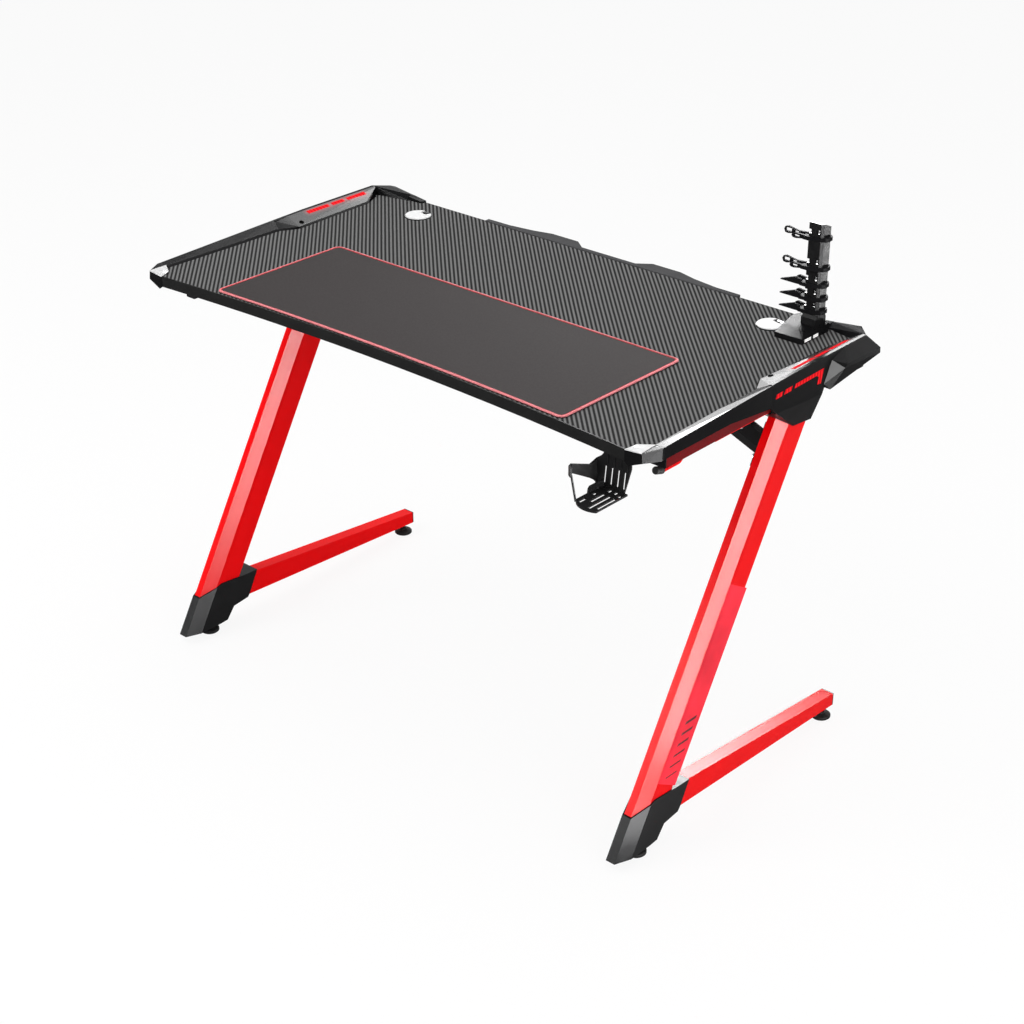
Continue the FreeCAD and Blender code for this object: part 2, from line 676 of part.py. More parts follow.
def make_post_cover():
    """The faceted shroud between the post and the underside of the light housing."""
    top = FASCIA_LOW_Z - 0.1
    outer = [(RAIL_OUT, 2.0, top), (RAIL_OUT, 134.0, top), (RAIL_OUT, 105.5, 708.5),
             (RAIL_OUT, 129.0, 700.0)]
    lower = [(19.7, 28.0, 694.0), (19.7, 79.0, 656.0), (19.7, 130.0, 651.0)]
    front = [(9.0, 46.0, 677.5), (15.0, 6.0, 702.0), (15.0, 4.0, top)]
    rear = [(19.7, 150.0, 690.0), (19.7, 150.0, top)]
    sides = []
    for across, y, z in lower + front + rear:
        sides += [(LEG_X + across, y, z), (LEG_X - across, y, z)]
    cover = hull(outer + sides)
    cover = cover.cut(post_prism(post_outline(0), 500, 960).common(slab(500, PLATE_Z)))
    pocket = box((LEG_X - POST_HALF - 0.2, RAIL_STEEL_X[1] + 0.2), (-160, 160.2), (PLATE_Z - 0.2, 740))
    cover = cover.cut(pocket).cut(fascia_block())
    return max(cover.Solids, key=lambda s: s.Volume)


# ---- grommets and mouse pad ----
def make_grommet_sleeve(x):
    """A flanged sleeve pressed into the board."""
    r = GROMMET_HOLE
    wall, flange, height = 2.5, 4.0, 1.2
    profile = [(r - wall, UNDER_Z + 1), (r, UNDER_Z + 1), (r, TOP_Z), (r + flange + 0.5, TOP_Z),
               (r + flange, TOP_Z + height), (r - wall, TOP_Z + height)]
    face = flat([(x + a, GROMMET_Y, z) for a, z in profile])
    return face.revolve(V(x, GROMMET_Y, 0), V(0, 0, 1), 360)


def make_grommet_cap(x):
    """The turning lid of a grommet, with a notch for cables."""
    bore = GROMMET_HOLE - 2.5
    rim = GROMMET_HOLE + 3.4
    floor = TOP_Z + 1.4
    thick = 2.0
    profile = [(0, floor), (rim - 0.3, floor), (rim, floor + 0.7), (rim - 1.2, floor + thick),
               (0, floor + thick)]
    face = flat([(x + a, GROMMET_Y, z) for a, z in profile])
    lid = face.revolve(V(x, GROMMET_Y, 0), V(0, 0, 1), 360)
    spigot = rod(bore - 0.05, (x, GROMMET_Y, floor - 6), (x, GROMMET_Y, floor))
    spigot = spigot.cut(rod(bore - 2.0, (x, GROMMET_Y, floor - 7), (x, GROMMET_Y, floor)))
    slot = (floor - 8, floor + 3)
    notch = box((x - NOTCH_HALF, x + NOTCH_HALF), (GROMMET_Y + NOTCH_NEAR, GROMMET_Y + 40), slot)
    uprights = [e for e in notch.Edges if e.BoundBox.ZLength > 5 and e.BoundBox.YMax < GROMMET_Y + 20]
    notch = notch.makeFillet(NOTCH_CORNER, uprights)
    notch.rotate(V(x, GROMMET_Y, 0), V(0, 0, 1), -NOTCH_TURN)
    return joined([lid, spigot]).cut(notch)


NOTCH_HALF = 9.5             # the cable notch in the lid's edge: half its width,
NOTCH_NEAR = 10.5            # how near it comes to the middle,
NOTCH_CORNER = 3.5           # the radius of its inner corners
NOTCH_TURN = 14.0            # and how far round from the rear it lies, in degrees


def make_mouse_pad():
    """The cloth mouse pad, its front edge parallel to the desk's."""
    corner = 12.0
    z0 = TOP_Z + 0.1
    left, right = (PAD_LEFT, -302.6), (PAD_RIGHT, -302.6)
    back = [(PAD_RIGHT, PAD_REAR), (PAD_LEFT, PAD_REAR)]
    pad = arc_solid(left, ((PAD_LEFT + PAD_RIGHT) / 2, -292.2), right, back, z0, z0 + PAD_THICK)
    uprights = [e for e in pad.Edges if abs(e.Vertexes[0].Z - e.Vertexes[-1].Z) > 1]
    return pad.makeFillet(corner, uprights)


# ---- cup holder and headphone hook ----
CUP_WALL = 3.0
CUP_FLANGE = 3.0
CUP_FLOOR_X = (455.0, 503.5)
CUP_BACK_Y = -285.0         # front face of the back wall
CUP_ARM_X = 442.0           # middle of the left arm's thickness
CUP_ARM_TOP = [(-344.0, 710.0), (-323.5, 702.0), (-300.0, 693.0), (-283.0, 697.5)]
CUP_ARM_LOW = [(-283.0, 655.0), (-289.7, 662.3), (-299.3, 669.3), (-323.0, 682.8), (-344.0, 694.5)]
CUP_SLOTS = ((464.0, -351.0, -335.0), (464.0, -319.0, -310.0), (476.0, -339.0, -305.5),
             (476.0, -298.0, -288.0), (487.5, -357.0, -305.5), (487.5, -298.0, -288.0),
             (498.5, -351.0, -307.0), (498.5, -302.0, -294.0))
CUP_BACK_SLOTS = (457.5, 470.0, 482.5, 494.5)
CUP_RIBS = (464.5, 477.0, 489.5, 501.5)


def cup_floor():
    """The slotted floor: straight sides and a curved front."""
    x0, x1 = CUP_FLOOR_X
    z0, z1 = CUP_FLOOR_Z - CUP_WALL, CUP_FLOOR_Z
    rear = box((x0, x1), (CUP_Y, CUP_BACK_Y), (z0, z1))
    round_front = rod(CUP_RADIUS, (CUP_X, CUP_Y, z0), (CUP_X, CUP_Y, z1))
    floor = joined([rear, round_front.common(box((x0, x1), (-400, CUP_Y), (z0, z1)))])
    half = 2.8
    for x, y0, y1 in CUP_SLOTS:
        floor = floor.cut(box((x - half, x + half), (y0, y1), (z0 - 1, z1 + 1)))
    return floor


def cup_back():
    """The tall ribbed wall behind the cup, from the floor up to the board."""
    low = CUP_FLOOR_Z - CUP_WALL
    arm = CUP_ARM_X - CUP_WALL / 2
    outline = [(arm, low), (496.0, low), (508.3, 699.0), (508.3, UNDER_Z), (470.0, UNDER_Z),
               (452.0, 706.0), (arm, 697.5)]
    wall = prism_y(outline, CUP_BACK_Y, CUP_BACK_Y + CUP_WALL)
    half, lean = 1.8, 2.7
    foot_z, head_z = 661.0, 691.0
    for x in CUP_BACK_SLOTS:
        slot = [(x - half, foot_z), (x + half, foot_z), (x + half + lean, head_z),
                (x - half + lean, head_z)]
        wall = wall.cut(prism_y(slot, CUP_BACK_Y - 1, CUP_BACK_Y + CUP_WALL + 1))
    ribs = []
    for x in CUP_RIBS:
        ribs.append(box((x - 1.0, x + 1.0), (CUP_BACK_Y - 1.6, CUP_BACK_Y), (head_z + 3, UNDER_Z - 1)))
    return joined([wall] + ribs)


def make_cup_holder():
    """A slotted cradle hung under the board, open to the front and the right."""
    half = CUP_WALL / 2
    side = (CUP_ARM_X - half, CUP_ARM_X + half)
    arm = prism_x(CUP_ARM_TOP + CUP_ARM_LOW, *side)
    bend = [(side[0], -344.0), (side[1], -344.0), (446.6, -350.6), (452.4, -354.2), (450.6, -357.0),
            (443.6, -352.6)]
    curl = prism_z(bend, 694.5, 710.0)
    lip_outline = [(-322.0, CUP_FLOOR_Z), (-321.0, 664.0), (-317.5, 667.5), (CUP_BACK_Y, 667.5),
                   (CUP_BACK_Y, CUP_FLOOR_Z)]
    lip = prism_x(lip_outline, CUP_FLOOR_X[0], CUP_FLOOR_X[0] + CUP_WALL)
    strut = rod(1.7, (458.5, -352.5, CUP_FLOOR_Z - 1), (450.3, -353.6, 697.0))
    flange = box((466, 508), (CUP_BACK_Y, CUP_BACK_Y + 30), (UNDER_Z - CUP_FLANGE, UNDER_Z))
    for x, y in cup_screw_spots():
        flange = flange.cut(rod(2.3, (x, y, UNDER_Z - 4), (x, y, UNDER_Z + 1)))
    return joined([cup_floor(), cup_back(), arm, curl, lip, strut, flange])


def cup_screw_spots():
    """Screws through the cup holder's flange, as (x, y)."""
    return [(x, CUP_BACK_Y + 18) for x in (474.0, 500.0)]


def make_under_screw(x, y, seat):
    """A pan-head screw driven up into the board from a seat height."""
    head = rod(4.2, (x, y, seat - 2.6), (x, y, seat))
    return joined([head, rod(2.2, (x, y, seat), (x, y, UNDER_Z + 10))])


HOOK_X = 538.0
HOOK_Z = 695.0
HOOK_ROD = 4.0
HOOK_REAR_Y = -202.0
HOOK_BEND = 9.0
HOOK_BEND_Y = -246.0
HOOK_TIP = (HOOK_X, -262.0, 700.0)


def make_hook_arm():
    """The bent steel bar that holds a headphone band, welded to a flat foot."""
    under = PLATE_Z + PLATE_THICK
    foot = box((HOOK_X - 12, HOOK_X + 12), (HOOK_REAR_Y - 8, HOOK_REAR_Y + 30), (under - 3, under))
    for y in hook_screw_ys():
        foot = foot.cut(rod(2.3, (HOOK_X, y, under - 4), (HOOK_X, y, under + 1)))
    section = Part.Face(Part.Wire(Part.makeCircle(HOOK_ROD, V(HOOK_X, HOOK_REAR_Y, HOOK_Z + HOOK_BEND))))
    centre = V(HOOK_X, HOOK_REAR_Y - HOOK_BEND, HOOK_Z + HOOK_BEND)
    bend = section.revolve(centre, V(1, 0, 0), -90)
    stem = rod(HOOK_ROD, (HOOK_X, HOOK_REAR_Y, HOOK_Z + HOOK_BEND), (HOOK_X, HOOK_REAR_Y, under - 1))
    level = rod(HOOK_ROD, (HOOK_X, HOOK_REAR_Y - HOOK_BEND, HOOK_Z), (HOOK_X, HOOK_BEND_Y, HOOK_Z))
    knee = Part.makeSphere(HOOK_ROD, V(HOOK_X, HOOK_BEND_Y, HOOK_Z))
    rising = rod(HOOK_ROD, (HOOK_X, HOOK_BEND_Y, HOOK_Z), HOOK_TIP)
    return joined([foot, stem, bend, level, knee, rising])


def hook_screw_ys():
    """Where the hook's foot is screwed up into the steel rail."""
    return [HOOK_REAR_Y + 9, HOOK_REAR_Y + 23]


def make_hook_screw(y):
    """A pan-head screw through the hook's foot into the steel rail's floor."""
    seat = PLATE_Z + PLATE_THICK - 3
    head = rod(4.2, (HOOK_X, y, seat - 2.6), (HOOK_X, y, seat))
    return joined([head, rod(2.2, (HOOK_X, y, seat), (HOOK_X, y, seat + 9))])


def make_hook_tip():
    """The rubber sleeve on the rising front end of the hook."""
    root = V(HOOK_X, HOOK_BEND_Y, HOOK_Z)
    along = (V(*HOOK_TIP) - root).normalize()
    start, end = root + along * 2.0, V(*HOOK_TIP) + along * 4.0
    sleeve = rod(HOOK_ROD + 2.2, start, end)
    rims = [e for e in sleeve.Edges if len(e.Vertexes) == 1]
    sleeve = sleeve.makeFillet(1.9, rims)
    return sleeve.cut(rod(HOOK_ROD, root - along * 2, V(*HOOK_TIP)))


def make_cable_clip():
    """A moulded clip under the left front of the board."""
    body = box((-471, -451), (-308, -290), (UNDER_Z - 9, UNDER_Z))
    body = body.makeFillet(2.0, [e for e in body.Edges if e.CenterOfMass.z < UNDER_Z - 8])
    return body.cut(rod(2.6, (-480, -300, UNDER_Z - 4.6), (-440, -300, UNDER_Z - 4.6)))


# ---- light control box ----
BOX_X = (330.0, 400.0)
BOX_Y = (196.0, 246.0)
BOX_DEPTH = 22.0
BOX_EAR = 2.5


def make_control_box():
    """The housing of the light controller, screwed under the rear of the board."""
    low = UNDER_Z - BOX_DEPTH
    body = box(BOX_X, BOX_Y, (low, UNDER_Z))
    body = body.makeFillet(2.5, [e for e in body.Edges if e.CenterOfMass.z < UNDER_Z - 1])
    inner = box((BOX_X[0] + 2, BOX_X[1] - 2), (BOX_Y[0] + 2, BOX_Y[1] - 2), (low + 2, UNDER_Z - 2))
    ears = box((BOX_X[0] - 12, BOX_X[1] + 12), (BOX_Y[0] + 15, BOX_Y[1] - 15), (UNDER_Z - BOX_EAR, UNDER_Z))
    case = joined([body, ears]).cut(inner)
    for x, y in box_screw_spots():
        case = case.cut(rod(2.3, (x, y, UNDER_Z - 4), (x, y, UNDER_Z + 1)))
    return case.cut(rod(5.6, socket_spot(4), socket_spot(-4)))


def box_screw_spots():
    """Screws through the ears of the control box, as (x, y)."""
    middle = (BOX_Y[0] + BOX_Y[1]) / 2
    return [(BOX_X[0] - 7, middle), (BOX_X[1] + 7, middle)]


def socket_spot(out):
    """A point on the power socket's axis, a distance outside the box's rear wall."""
    return ((BOX_X[0] + BOX_X[1]) / 2, BOX_Y[1] + out, UNDER_Z - BOX_DEPTH / 2)


def make_power_socket():
    """The barrel socket for the low-voltage supply, with its centre pin."""
    barrel = rod(5.5, socket_spot(-10), socket_spot(0.5))
    barrel = barrel.cut(rod(3.2, socket_spot(-8.5), socket_spot(1)))
    return joined([barrel, rod(1.0, socket_spot(-9), socket_spot(-0.5))])


# ---- controller stand ----
STAND_FLOOR = TOP_Z + 0.1
PORT_SPANS = ((182.0, 200.0), (207.0, 221.0))
PEDESTAL_FOOT_Z = 758.0
PEDESTAL_TOP_Z = 781.0
COLUMN_HALF = 13.5
COLUMN_DEPTH = 11.5


def make_stand_base():
    """The weighted base: a wedge that rises towards the rear under the column."""
    rim = [(440.0, 174.0), (494.0, 174.0), (494.0, 252.0), (454.0, 248.0), (440.0, 226.0)]
    heights = [759.6, 759.6, 766.5, 777.0, 774.0]
    points = [(x, y, STAND_FLOOR) for x, y in rim]
    points += [(x, y, z) for (x, y), z in zip(rim, heights)]
    body = hull(points)
    for port in port_spaces():
        body = body.cut(port)
    return body.cut(stand_pedestal())


def port_spaces():
    """Recesses for the two sockets in the right side of the base."""
    return [box((488.0, 495.0), span, (751.8, 757.0)) for span in PORT_SPANS]


def make_stand_ports():
    """Two pale socket blocks in the side of the base."""
    return [box((488.0, 494.3), span, (751.8, 757.0)) for span in PORT_SPANS]


def stand_pedestal():
    """The flared root of the column, which drops into the base."""
    x, y = STAND_X, STAND_Y
    wide = [(x - 15.5, y - 14), (x + 14.3, y - 14), (x + 16.5, y + 2), (x + 14.3, y + 14), (x - 15.5, y + 14)]
    neck = [(x - COLUMN_HALF, y - COLUMN_DEPTH), (x + COLUMN_HALF, y - COLUMN_DEPTH),
            (x + COLUMN_HALF, y + COLUMN_DEPTH), (x - COLUMN_HALF, y + COLUMN_DEPTH)]
    points = [(px, py, PEDESTAL_FOOT_Z) for px, py in wide[:1] + wide[3:]]
    points += [(px - 2.2, py, PEDESTAL_FOOT_Z) for px, py in wide[1:3]]
    points += [(px, py, PEDESTAL_TOP_Z) for px, py in wide]
    points += [(px, py, PEDESTAL_TOP_Z + 6) for px, py in neck]
    return hull(points)


def column_shaft():
    """The outline of the upright, with one front corner and one rear corner cut back."""
    x, y, half, depth = STAND_X, STAND_Y, COLUMN_HALF, COLUMN_DEPTH
    outline = [(x - half, y - depth), (x + half - 4, y - depth), (x + half, y - depth + 4),
               (x + half, y + depth), (x - half, y + depth - 3)]
    return prism_z(outline, PEDESTAL_TOP_Z, STAND_TOP_Z)


def make_stand_column():
    """The upright of the stand: a flared pedestal under an angle section with windows."""
    x, y, half, depth = STAND_X, STAND_Y, COLUMN_HALF, COLUMN_DEPTH
    wall = 4.0
    crown = 9.0
    hollow = box((x - half - 1, x + half - wall), (y - depth + wall, y + depth + 1),
                 (PEDESTAL_TOP_Z + 7, STAND_TOP_Z - crown))
    sloped = prism_x([(y - depth + 4, STAND_TOP_Z), (y + depth + 1, STAND_TOP_Z - crown + 1),
                      (y + depth + 1, STAND_TOP_Z + 1), (y - depth + 4, STAND_TOP_Z + 1)],
                     x - half - 1, x + half + 1)
    column = joined([stand_pedestal(), column_shaft()]).cut(hollow).cut(sloped)
    through = (y - depth - 1, y - depth + wall + 1)
    for z in TIER_Z:
        column = column.cut(box((x + 2.5, x + 7.5), through, (z + 9.0, z + 15.5)))
        column = column.cut(box((x - half - 1, x - half + 4.5), through, (z + 8.0, z + 15.0)))
    return column


TIER_COLLAR = [(-21.0, -18.0), (-8.0, -18.0), (4.0, -15.0), (17.0, -8.5), (20.5, -3.0), (19.0, 9.0),
               (14.0, 14.5), (-14.0, 14.5), (-21.0, 8.0)]
TIER_COLLAR_Z = (-3.0, 3.6)
UPPER_FAR_ARM = [(-20.0, 5.0), (-39.0, 3.6), (-48.0, 5.0), (-58.0, 7.0), (-63.5, 5.6), (-66.0, 1.0),
                 (-63.5, -4.6), (-58.0, -5.4), (-49.0, -3.6), (-30.0, -4.4), (-20.0, -3.0)]
UPPER_NEAR_ARM = [(-20.0, 3.0), (-38.0, 3.4), (-42.5, 1.5), (-44.5, -2.0), (-42.0, -5.2),
                  (-36.0, -5.8), (-20.0, -3.0)]
LOWER_FAR_ARM = [(-20.0, 5.5), (-33.0, 7.0), (-37.0, 5.0), (-37.0, -1.5), (-30.0, -3.5), (-20.0, -3.0)]
LOWER_NEAR_ARM = [(-20.0, 6.5), (-31.0, 8.5), (-59.5, -1.4), (-59.5, -3.0), (-28.5, -3.2), (-20.0, -3.0)]


def tier_arm(outline, y, z, windows):
    """An upright arm of a tier, four millimetres thick, with windows as (x0, x1, z0, z1)."""
    x, half = STAND_X, 2.0
    arm = prism_y([(x + a, z + b) for a, b in outline], y - half, y + half)
    for x0, x1, z0, z1 in windows:
        arm = arm.cut(box((x + x0, x + x1), (y - half - 1, y + half + 1), (z + z0, z + z1)))
    return arm


def make_tier(z, upper):
    """One tier: a collar around the column and two upright arms that reach to the left."""
    x, y = STAND_X, STAND_Y
    z0, z1 = TIER_COLLAR_Z
    collar = prism_z([(x + a, y + b) for a, b in TIER_COLLAR], z + z0, z + z1)
    if upper:
        far = tier_arm(UPPER_FAR_ARM, y - 2.5, z, [(-63.0, -51.0, -1.6, 4.2), (-46.0, -37.0, -0.6, 2.4)])
        near = tier_arm(UPPER_NEAR_ARM, y - 13.0, z, [(-39.5, -29.0, -3.0, 1.0)])
    else:
        far = tier_arm(LOWER_FAR_ARM, y + 1.0, z, [])
        near = tier_arm(LOWER_NEAR_ARM, y - 13.5, z, [])
    return joined([collar, far, near]).cut(column_shaft())


# ---- build ----
def build():
    os.makedirs("parts", exist_ok=True)

    post = make_post()
    foot = make_foot()
    steel_rail = make_steel_rail()
    pairs = {
        "post": post, "foot": foot, "boot": make_boot(),
        "upper_rail": steel_rail, "post_cover": make_post_cover(), "corner_cap": make_corner_cap(),
        "corner_plate": make_corner_plate(), "side_rail": make_side_rail(),
        "rail_fascia": make_fascia(), "rear_corner": make_rear_corner(),
        "light_button": make_button(), "leveller_front": make_leveller(-LEVELLER_Y, 40.0),
        "leveller_rear": make_leveller(LEVELLER_Y, 36.0),
        "inner_lights": group(make_inner_lights()), "light_bars": group(make_light_bars()),
        }
    for name, shape in pairs.items():
        for side, placed in both_sides(shape):
            save(name + "_" + side, placed)

    rail_screws = [make_board_screw(x, y) for x, y in board_screw_spots()]
    screws = rail_screws + [mirror(s) for s in rail_screws]
    screws += [make_under_screw(x, y, UNDER_Z - CUP_FLANGE) for x, y in cup_screw_spots()]
    screws += [make_under_screw(x, y, UNDER_Z - BOX_EAR) for x, y in box_screw_spots()]
    screws += [make_hook_screw(y) for y in hook_screw_ys()]
    save("desktop_board", make_board().cut(group(screws)))
    save("board_screws", group(screws))
    save("front_edge_band", make_front_band())
    save("rear_edge_strip", make_rear_strip())

    plugs = make_rail_plugs()
    plugs += [mirror(p) for p in plugs]
    save("rail_end_plugs", group(plugs))
    frame_bolts = [make_frame_bolt(x, y) for x, y in bolt_spots()]
    frame_bolts += [mirror(b) for b in frame_bolts]
    save("frame_bolts", group(frame_bolts))
    nuts = [make_thread_nut(-LEVELLER_Y, POST_BOTTOM_Z + 4), make_thread_nut(LEVELLER_Y, 24.6)]
    nuts += [mirror(n) for n in nuts]
    save("leveller_nuts", group(nuts))
    foot_cap = make_foot_cap()
    save("foot_end_caps", group([foot_cap, mirror(foot_cap)]))
    strips = make_led_strips()
    save("led_strips", group(strips + [mirror(strip) for strip in strips]))
    save("stretcher", make_stretcher())
    save("stretcher_bolts", make_stretcher_bolts())

    for side, x in (("right", GROMMET_X), ("left", -GROMMET_X)):
        save("grommet_sleeve_" + side, make_grommet_sleeve(x))
        save("grommet_cap_" + side, make_grommet_cap(x))
    save("mouse_pad", make_mouse_pad())
    save("cup_holder", make_cup_holder())
    save("hook_arm", make_hook_arm())
    save("hook_tip", make_hook_tip())
    save("cable_clip", make_cable_clip())
    save("control_box", make_control_box())
    save("power_socket", make_power_socket())

    save("stand_base", make_stand_base())
    save("stand_ports", group(make_stand_ports()))
    save("stand_column", make_stand_column())
    for number, z in enumerate(TIER_Z, 1):
        save("holder_tier_%d" % number, make_tier(z, z > 850))


build()
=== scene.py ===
"""Gaming desk with Z-shaped steel legs: finishes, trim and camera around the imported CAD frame.

Lengths are in metres in the frame's axes: +X to the user's right, +Y to the rear, +Z up.
"""
import json
import math

import bmesh
import bpy
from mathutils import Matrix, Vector


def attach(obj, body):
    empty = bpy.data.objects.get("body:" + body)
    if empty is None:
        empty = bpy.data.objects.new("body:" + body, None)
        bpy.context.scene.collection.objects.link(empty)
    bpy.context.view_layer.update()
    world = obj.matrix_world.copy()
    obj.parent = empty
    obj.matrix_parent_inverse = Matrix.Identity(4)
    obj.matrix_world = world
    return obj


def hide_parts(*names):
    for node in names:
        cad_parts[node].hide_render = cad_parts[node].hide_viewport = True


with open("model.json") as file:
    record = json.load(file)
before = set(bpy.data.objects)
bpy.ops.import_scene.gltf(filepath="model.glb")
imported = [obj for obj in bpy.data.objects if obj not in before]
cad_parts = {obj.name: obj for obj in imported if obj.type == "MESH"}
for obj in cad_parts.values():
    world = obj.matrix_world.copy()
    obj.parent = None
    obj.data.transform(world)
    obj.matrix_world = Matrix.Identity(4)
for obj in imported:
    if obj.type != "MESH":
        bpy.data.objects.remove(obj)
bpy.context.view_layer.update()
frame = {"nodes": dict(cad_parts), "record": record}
nodes = frame["nodes"]
scene = bpy.context.scene

MM = 0.001
TOP_Z = 0.750
# the drawing's Y = 0 lies midway between the feet, and this is where that is in the frame
MID_Y = 0.031


# ---------------------------------------------------------------- camera, floor and light

CAMERA_PLACE = (2.1423, -2.3572, 2.0270)
CAMERA_AZIMUTH = 41.640
CAMERA_ELEVATION = 27.745
CAMERA_LENS = 70.49
SENSOR_WIDTH = 36.0
WORLD_LIGHT = 0.55         # how strongly the surround lights the desk
FLOOR_SIZE = 14.0
FLOOR_DROP = 0.5 * MM      # how far the floor lies under the levellers' soles
FLOOR_SHOWN = 0.90         # how much of the floor's look is plain white
DESK_MIDDLE = (0, 0, 0.5)


def make_camera():
    data = bpy.data.cameras.new("camera")
    data.sensor_fit = "HORIZONTAL"
    data.sensor_width = SENSOR_WIDTH
    data.lens = CAMERA_LENS
    data.clip_start = 0.05
    data.clip_end = 60
    camera = bpy.data.objects.new("camera", data)
    camera.location = CAMERA_PLACE
    camera.rotation_euler = (
        math.radians(90 - CAMERA_ELEVATION), 0, math.radians(CAMERA_AZIMUTH)
    )
    scene.collection.objects.link(camera)
    scene.camera = camera


def seen_directly(tree):
    """1 for camera, glossy and transmission rays, 0 for the rays that carry diffuse light."""
    path = tree.nodes.new("ShaderNodeLightPath")
    seen = path.outputs["Is Camera Ray"]
    for kind in ("Is Glossy Ray", "Is Transmission Ray"):
        either = tree.nodes.new("ShaderNodeMath")
        either.operation = "MAXIMUM"
        tree.links.new(seen, either.inputs[0])
        tree.links.new(path.outputs[kind], either.inputs[1])
        seen = either.outputs[0]
    return seen


def make_world():
    """Soft grey light all round, and a white surround for what is seen or mirrored."""
    world = bpy.data.worlds.new("studio")
    scene.world = world
    world.use_nodes = True
    tree = world.node_tree
    background = tree.nodes["Background"]
    background.inputs["Color"].default_value = (1, 1, 1, 1)
    background.inputs["Strength"].default_value = WORLD_LIGHT
    shown = tree.nodes.new("ShaderNodeBackground")
    shown.inputs["Color"].default_value = (1, 1, 1, 1)
    shown.inputs["Strength"].default_value = 1.0
    mix = tree.nodes.new("ShaderNodeMixShader")
    tree.links.new(seen_directly(tree), mix.inputs[0])
    tree.links.new(background.outputs[0], mix.inputs[1])
    tree.links.new(shown.outputs[0], mix.inputs[2])
    tree.links.new(mix.outputs[0], tree.nodes["World Output"].inputs[0])


def make_floor():
    """A pale floor that keeps the desk's shadow."""
    mesh = bpy.data.meshes.new("floor")
    shape = bmesh.new()
    bmesh.ops.create_grid(shape, x_segments=8, y_segments=8, size=FLOOR_SIZE / 2)
    shape.to_mesh(mesh)
    shape.free()
    floor = bpy.data.objects.new("floor", mesh)
    floor.location.z = -FLOOR_DROP
    scene.collection.objects.link(floor)
    material = bpy.data.materials.new("pale_floor")
    material.use_nodes = True
    tree = material.node_tree
    paint = tree.nodes["Principled BSDF"]
    paint.inputs["Base Color"].default_value = (0.86, 0.86, 0.86, 1)
    paint.inputs["Roughness"].default_value = 0.9
    paint.inputs["Specular IOR Level"].default_value = 0.0
    glow = tree.nodes.new("ShaderNodeEmission")
    glow.inputs["Strength"].default_value = 1.0
    share = tree.nodes.new("ShaderNodeMath")
    share.operation = "MULTIPLY"
    share.inputs[1].default_value = FLOOR_SHOWN
    mix = tree.nodes.new("ShaderNodeMixShader")
    tree.links.new(seen_directly(tree), share.inputs[0])
    tree.links.new(share.outputs[0], mix.inputs[0])
    tree.links.new(paint.outputs[0], mix.inputs[1])
    tree.links.new(glow.outputs[0], mix.inputs[2])
    tree.links.new(mix.outputs[0], tree.nodes["Material Output"].inputs[0])
    mesh.materials.append(material)


def make_lamp(name, place, target, size, power):
    """A rectangular softbox at place that points at target; size is (width, height)."""
    data = bpy.data.lights.new(name, "AREA")
    data.shape = "RECTANGLE"
    data.size, data.size_y = size
    data.energy = power
    lamp = bpy.data.objects.new(name, data)
    lamp.location = place
    aim = Vector(target) - Vector(place)
    lamp.rotation_euler = aim.to_track_quat("-Z", "Y").to_euler()
    lamp.visible_camera = False
    scene.collection.objects.link(lamp)
    return lamp


def make_card(name, place, target, size, radiance):
    """A reflector card: it shows in glossy surfaces and adds no light to the rest."""
    card = make_lamp(name, place, target, size, radiance * math.pi * size[0] * size[1])
    card.visible_diffuse = False
    card.visible_transmission = False


def make_lamps():
    """Three soft lamps for the light, and cards for the reflections."""
    for lamp in (
        make_lamp("key", (-1.6, -2.2, 3.2), DESK_MIDDLE, (2.2, 2.2), 70),
        make_lamp("fill", (2.8, -1.2, 1.8), DESK_MIDDLE, (2.0, 2.0), 28),
        make_lamp("overhead", (0.2, 0.6, 3.4), DESK_MIDDLE, (2.6, 2.6), 40),
    ):
        lamp.visible_glossy = False
    # on the right: the chamfers of the legs, the fin and the boots
    make_card("card_right", (2.8, -0.10, 0.47), (1.8, -0.10, 0.47), (1.6, 0.94), 145)
    make_card("card_right_low", (2.0, -0.12, 0.012), (2.0, -0.12, 1.0), (1.55, 0.55), 145)
    make_card("card_fin", (2.8, -0.70, 1.22), (0.57, 0.18, 0.74), (0.5, 0.5), 1100)
    make_card("card_fin_front", (1.92, 1.04, 2.55), (0.57, 0.2, 0.75), (0.6, 0.6), 60)
    make_card("card_fin_top", (1.80, 2.25, 1.65), (0.57, 0.2, 0.75), (1.0, 0.8), 24)
    make_card("card_boot", (0.92, -0.34, 0.014), (0.92, -0.34, 1.0), (0.50, 0.30), 60)
    # at the rear left: the tops of the right rail and of the feet
    make_card("card_rail_low", (-0.22, 0.74, 0.87), (0.46, 0.01, 0.80), (0.42, 0.17), 8)
    make_card("card_rail_high", (-0.22, 0.72, 1.13), (0.46, -0.01, 0.80), (0.42, 0.34), 17)
    make_card("card_feet", (-0.85, 2.15, 1.85), (0.5, 0.0, 0.10), (0.9, 1.1), 100)
    # high at the rear left: the left light panel
    make_card("card_panel", (-2.0, 2.15, 2.85), (-0.54, 0.15, 0.76), (1.7, 1.1), 22)
    make_card("card_panel_front", (-1.10, 0.95, 2.85), (-0.54, 0.02, 0.76), (0.4, 0.4), 18)
    # at the front left: the left rear corner
    make_card("card_corner", (-1.55, -2.54, 1.0), (-0.53, 0.28, 0.755), (0.9, 0.9), 85)
    # for the stand: one above for its base, one on the floor for its column
    make_card("card_base", (-1.10, 1.62, 2.85), (0.46, 0.22, 0.76), (0.5, 0.5), 55)
    make_card("card_column", (1.75, 2.15, 0.012), (1.75, 2.15, 1.0), (0.6, 0.6), 45)


# ---------------------------------------------------------------- materials


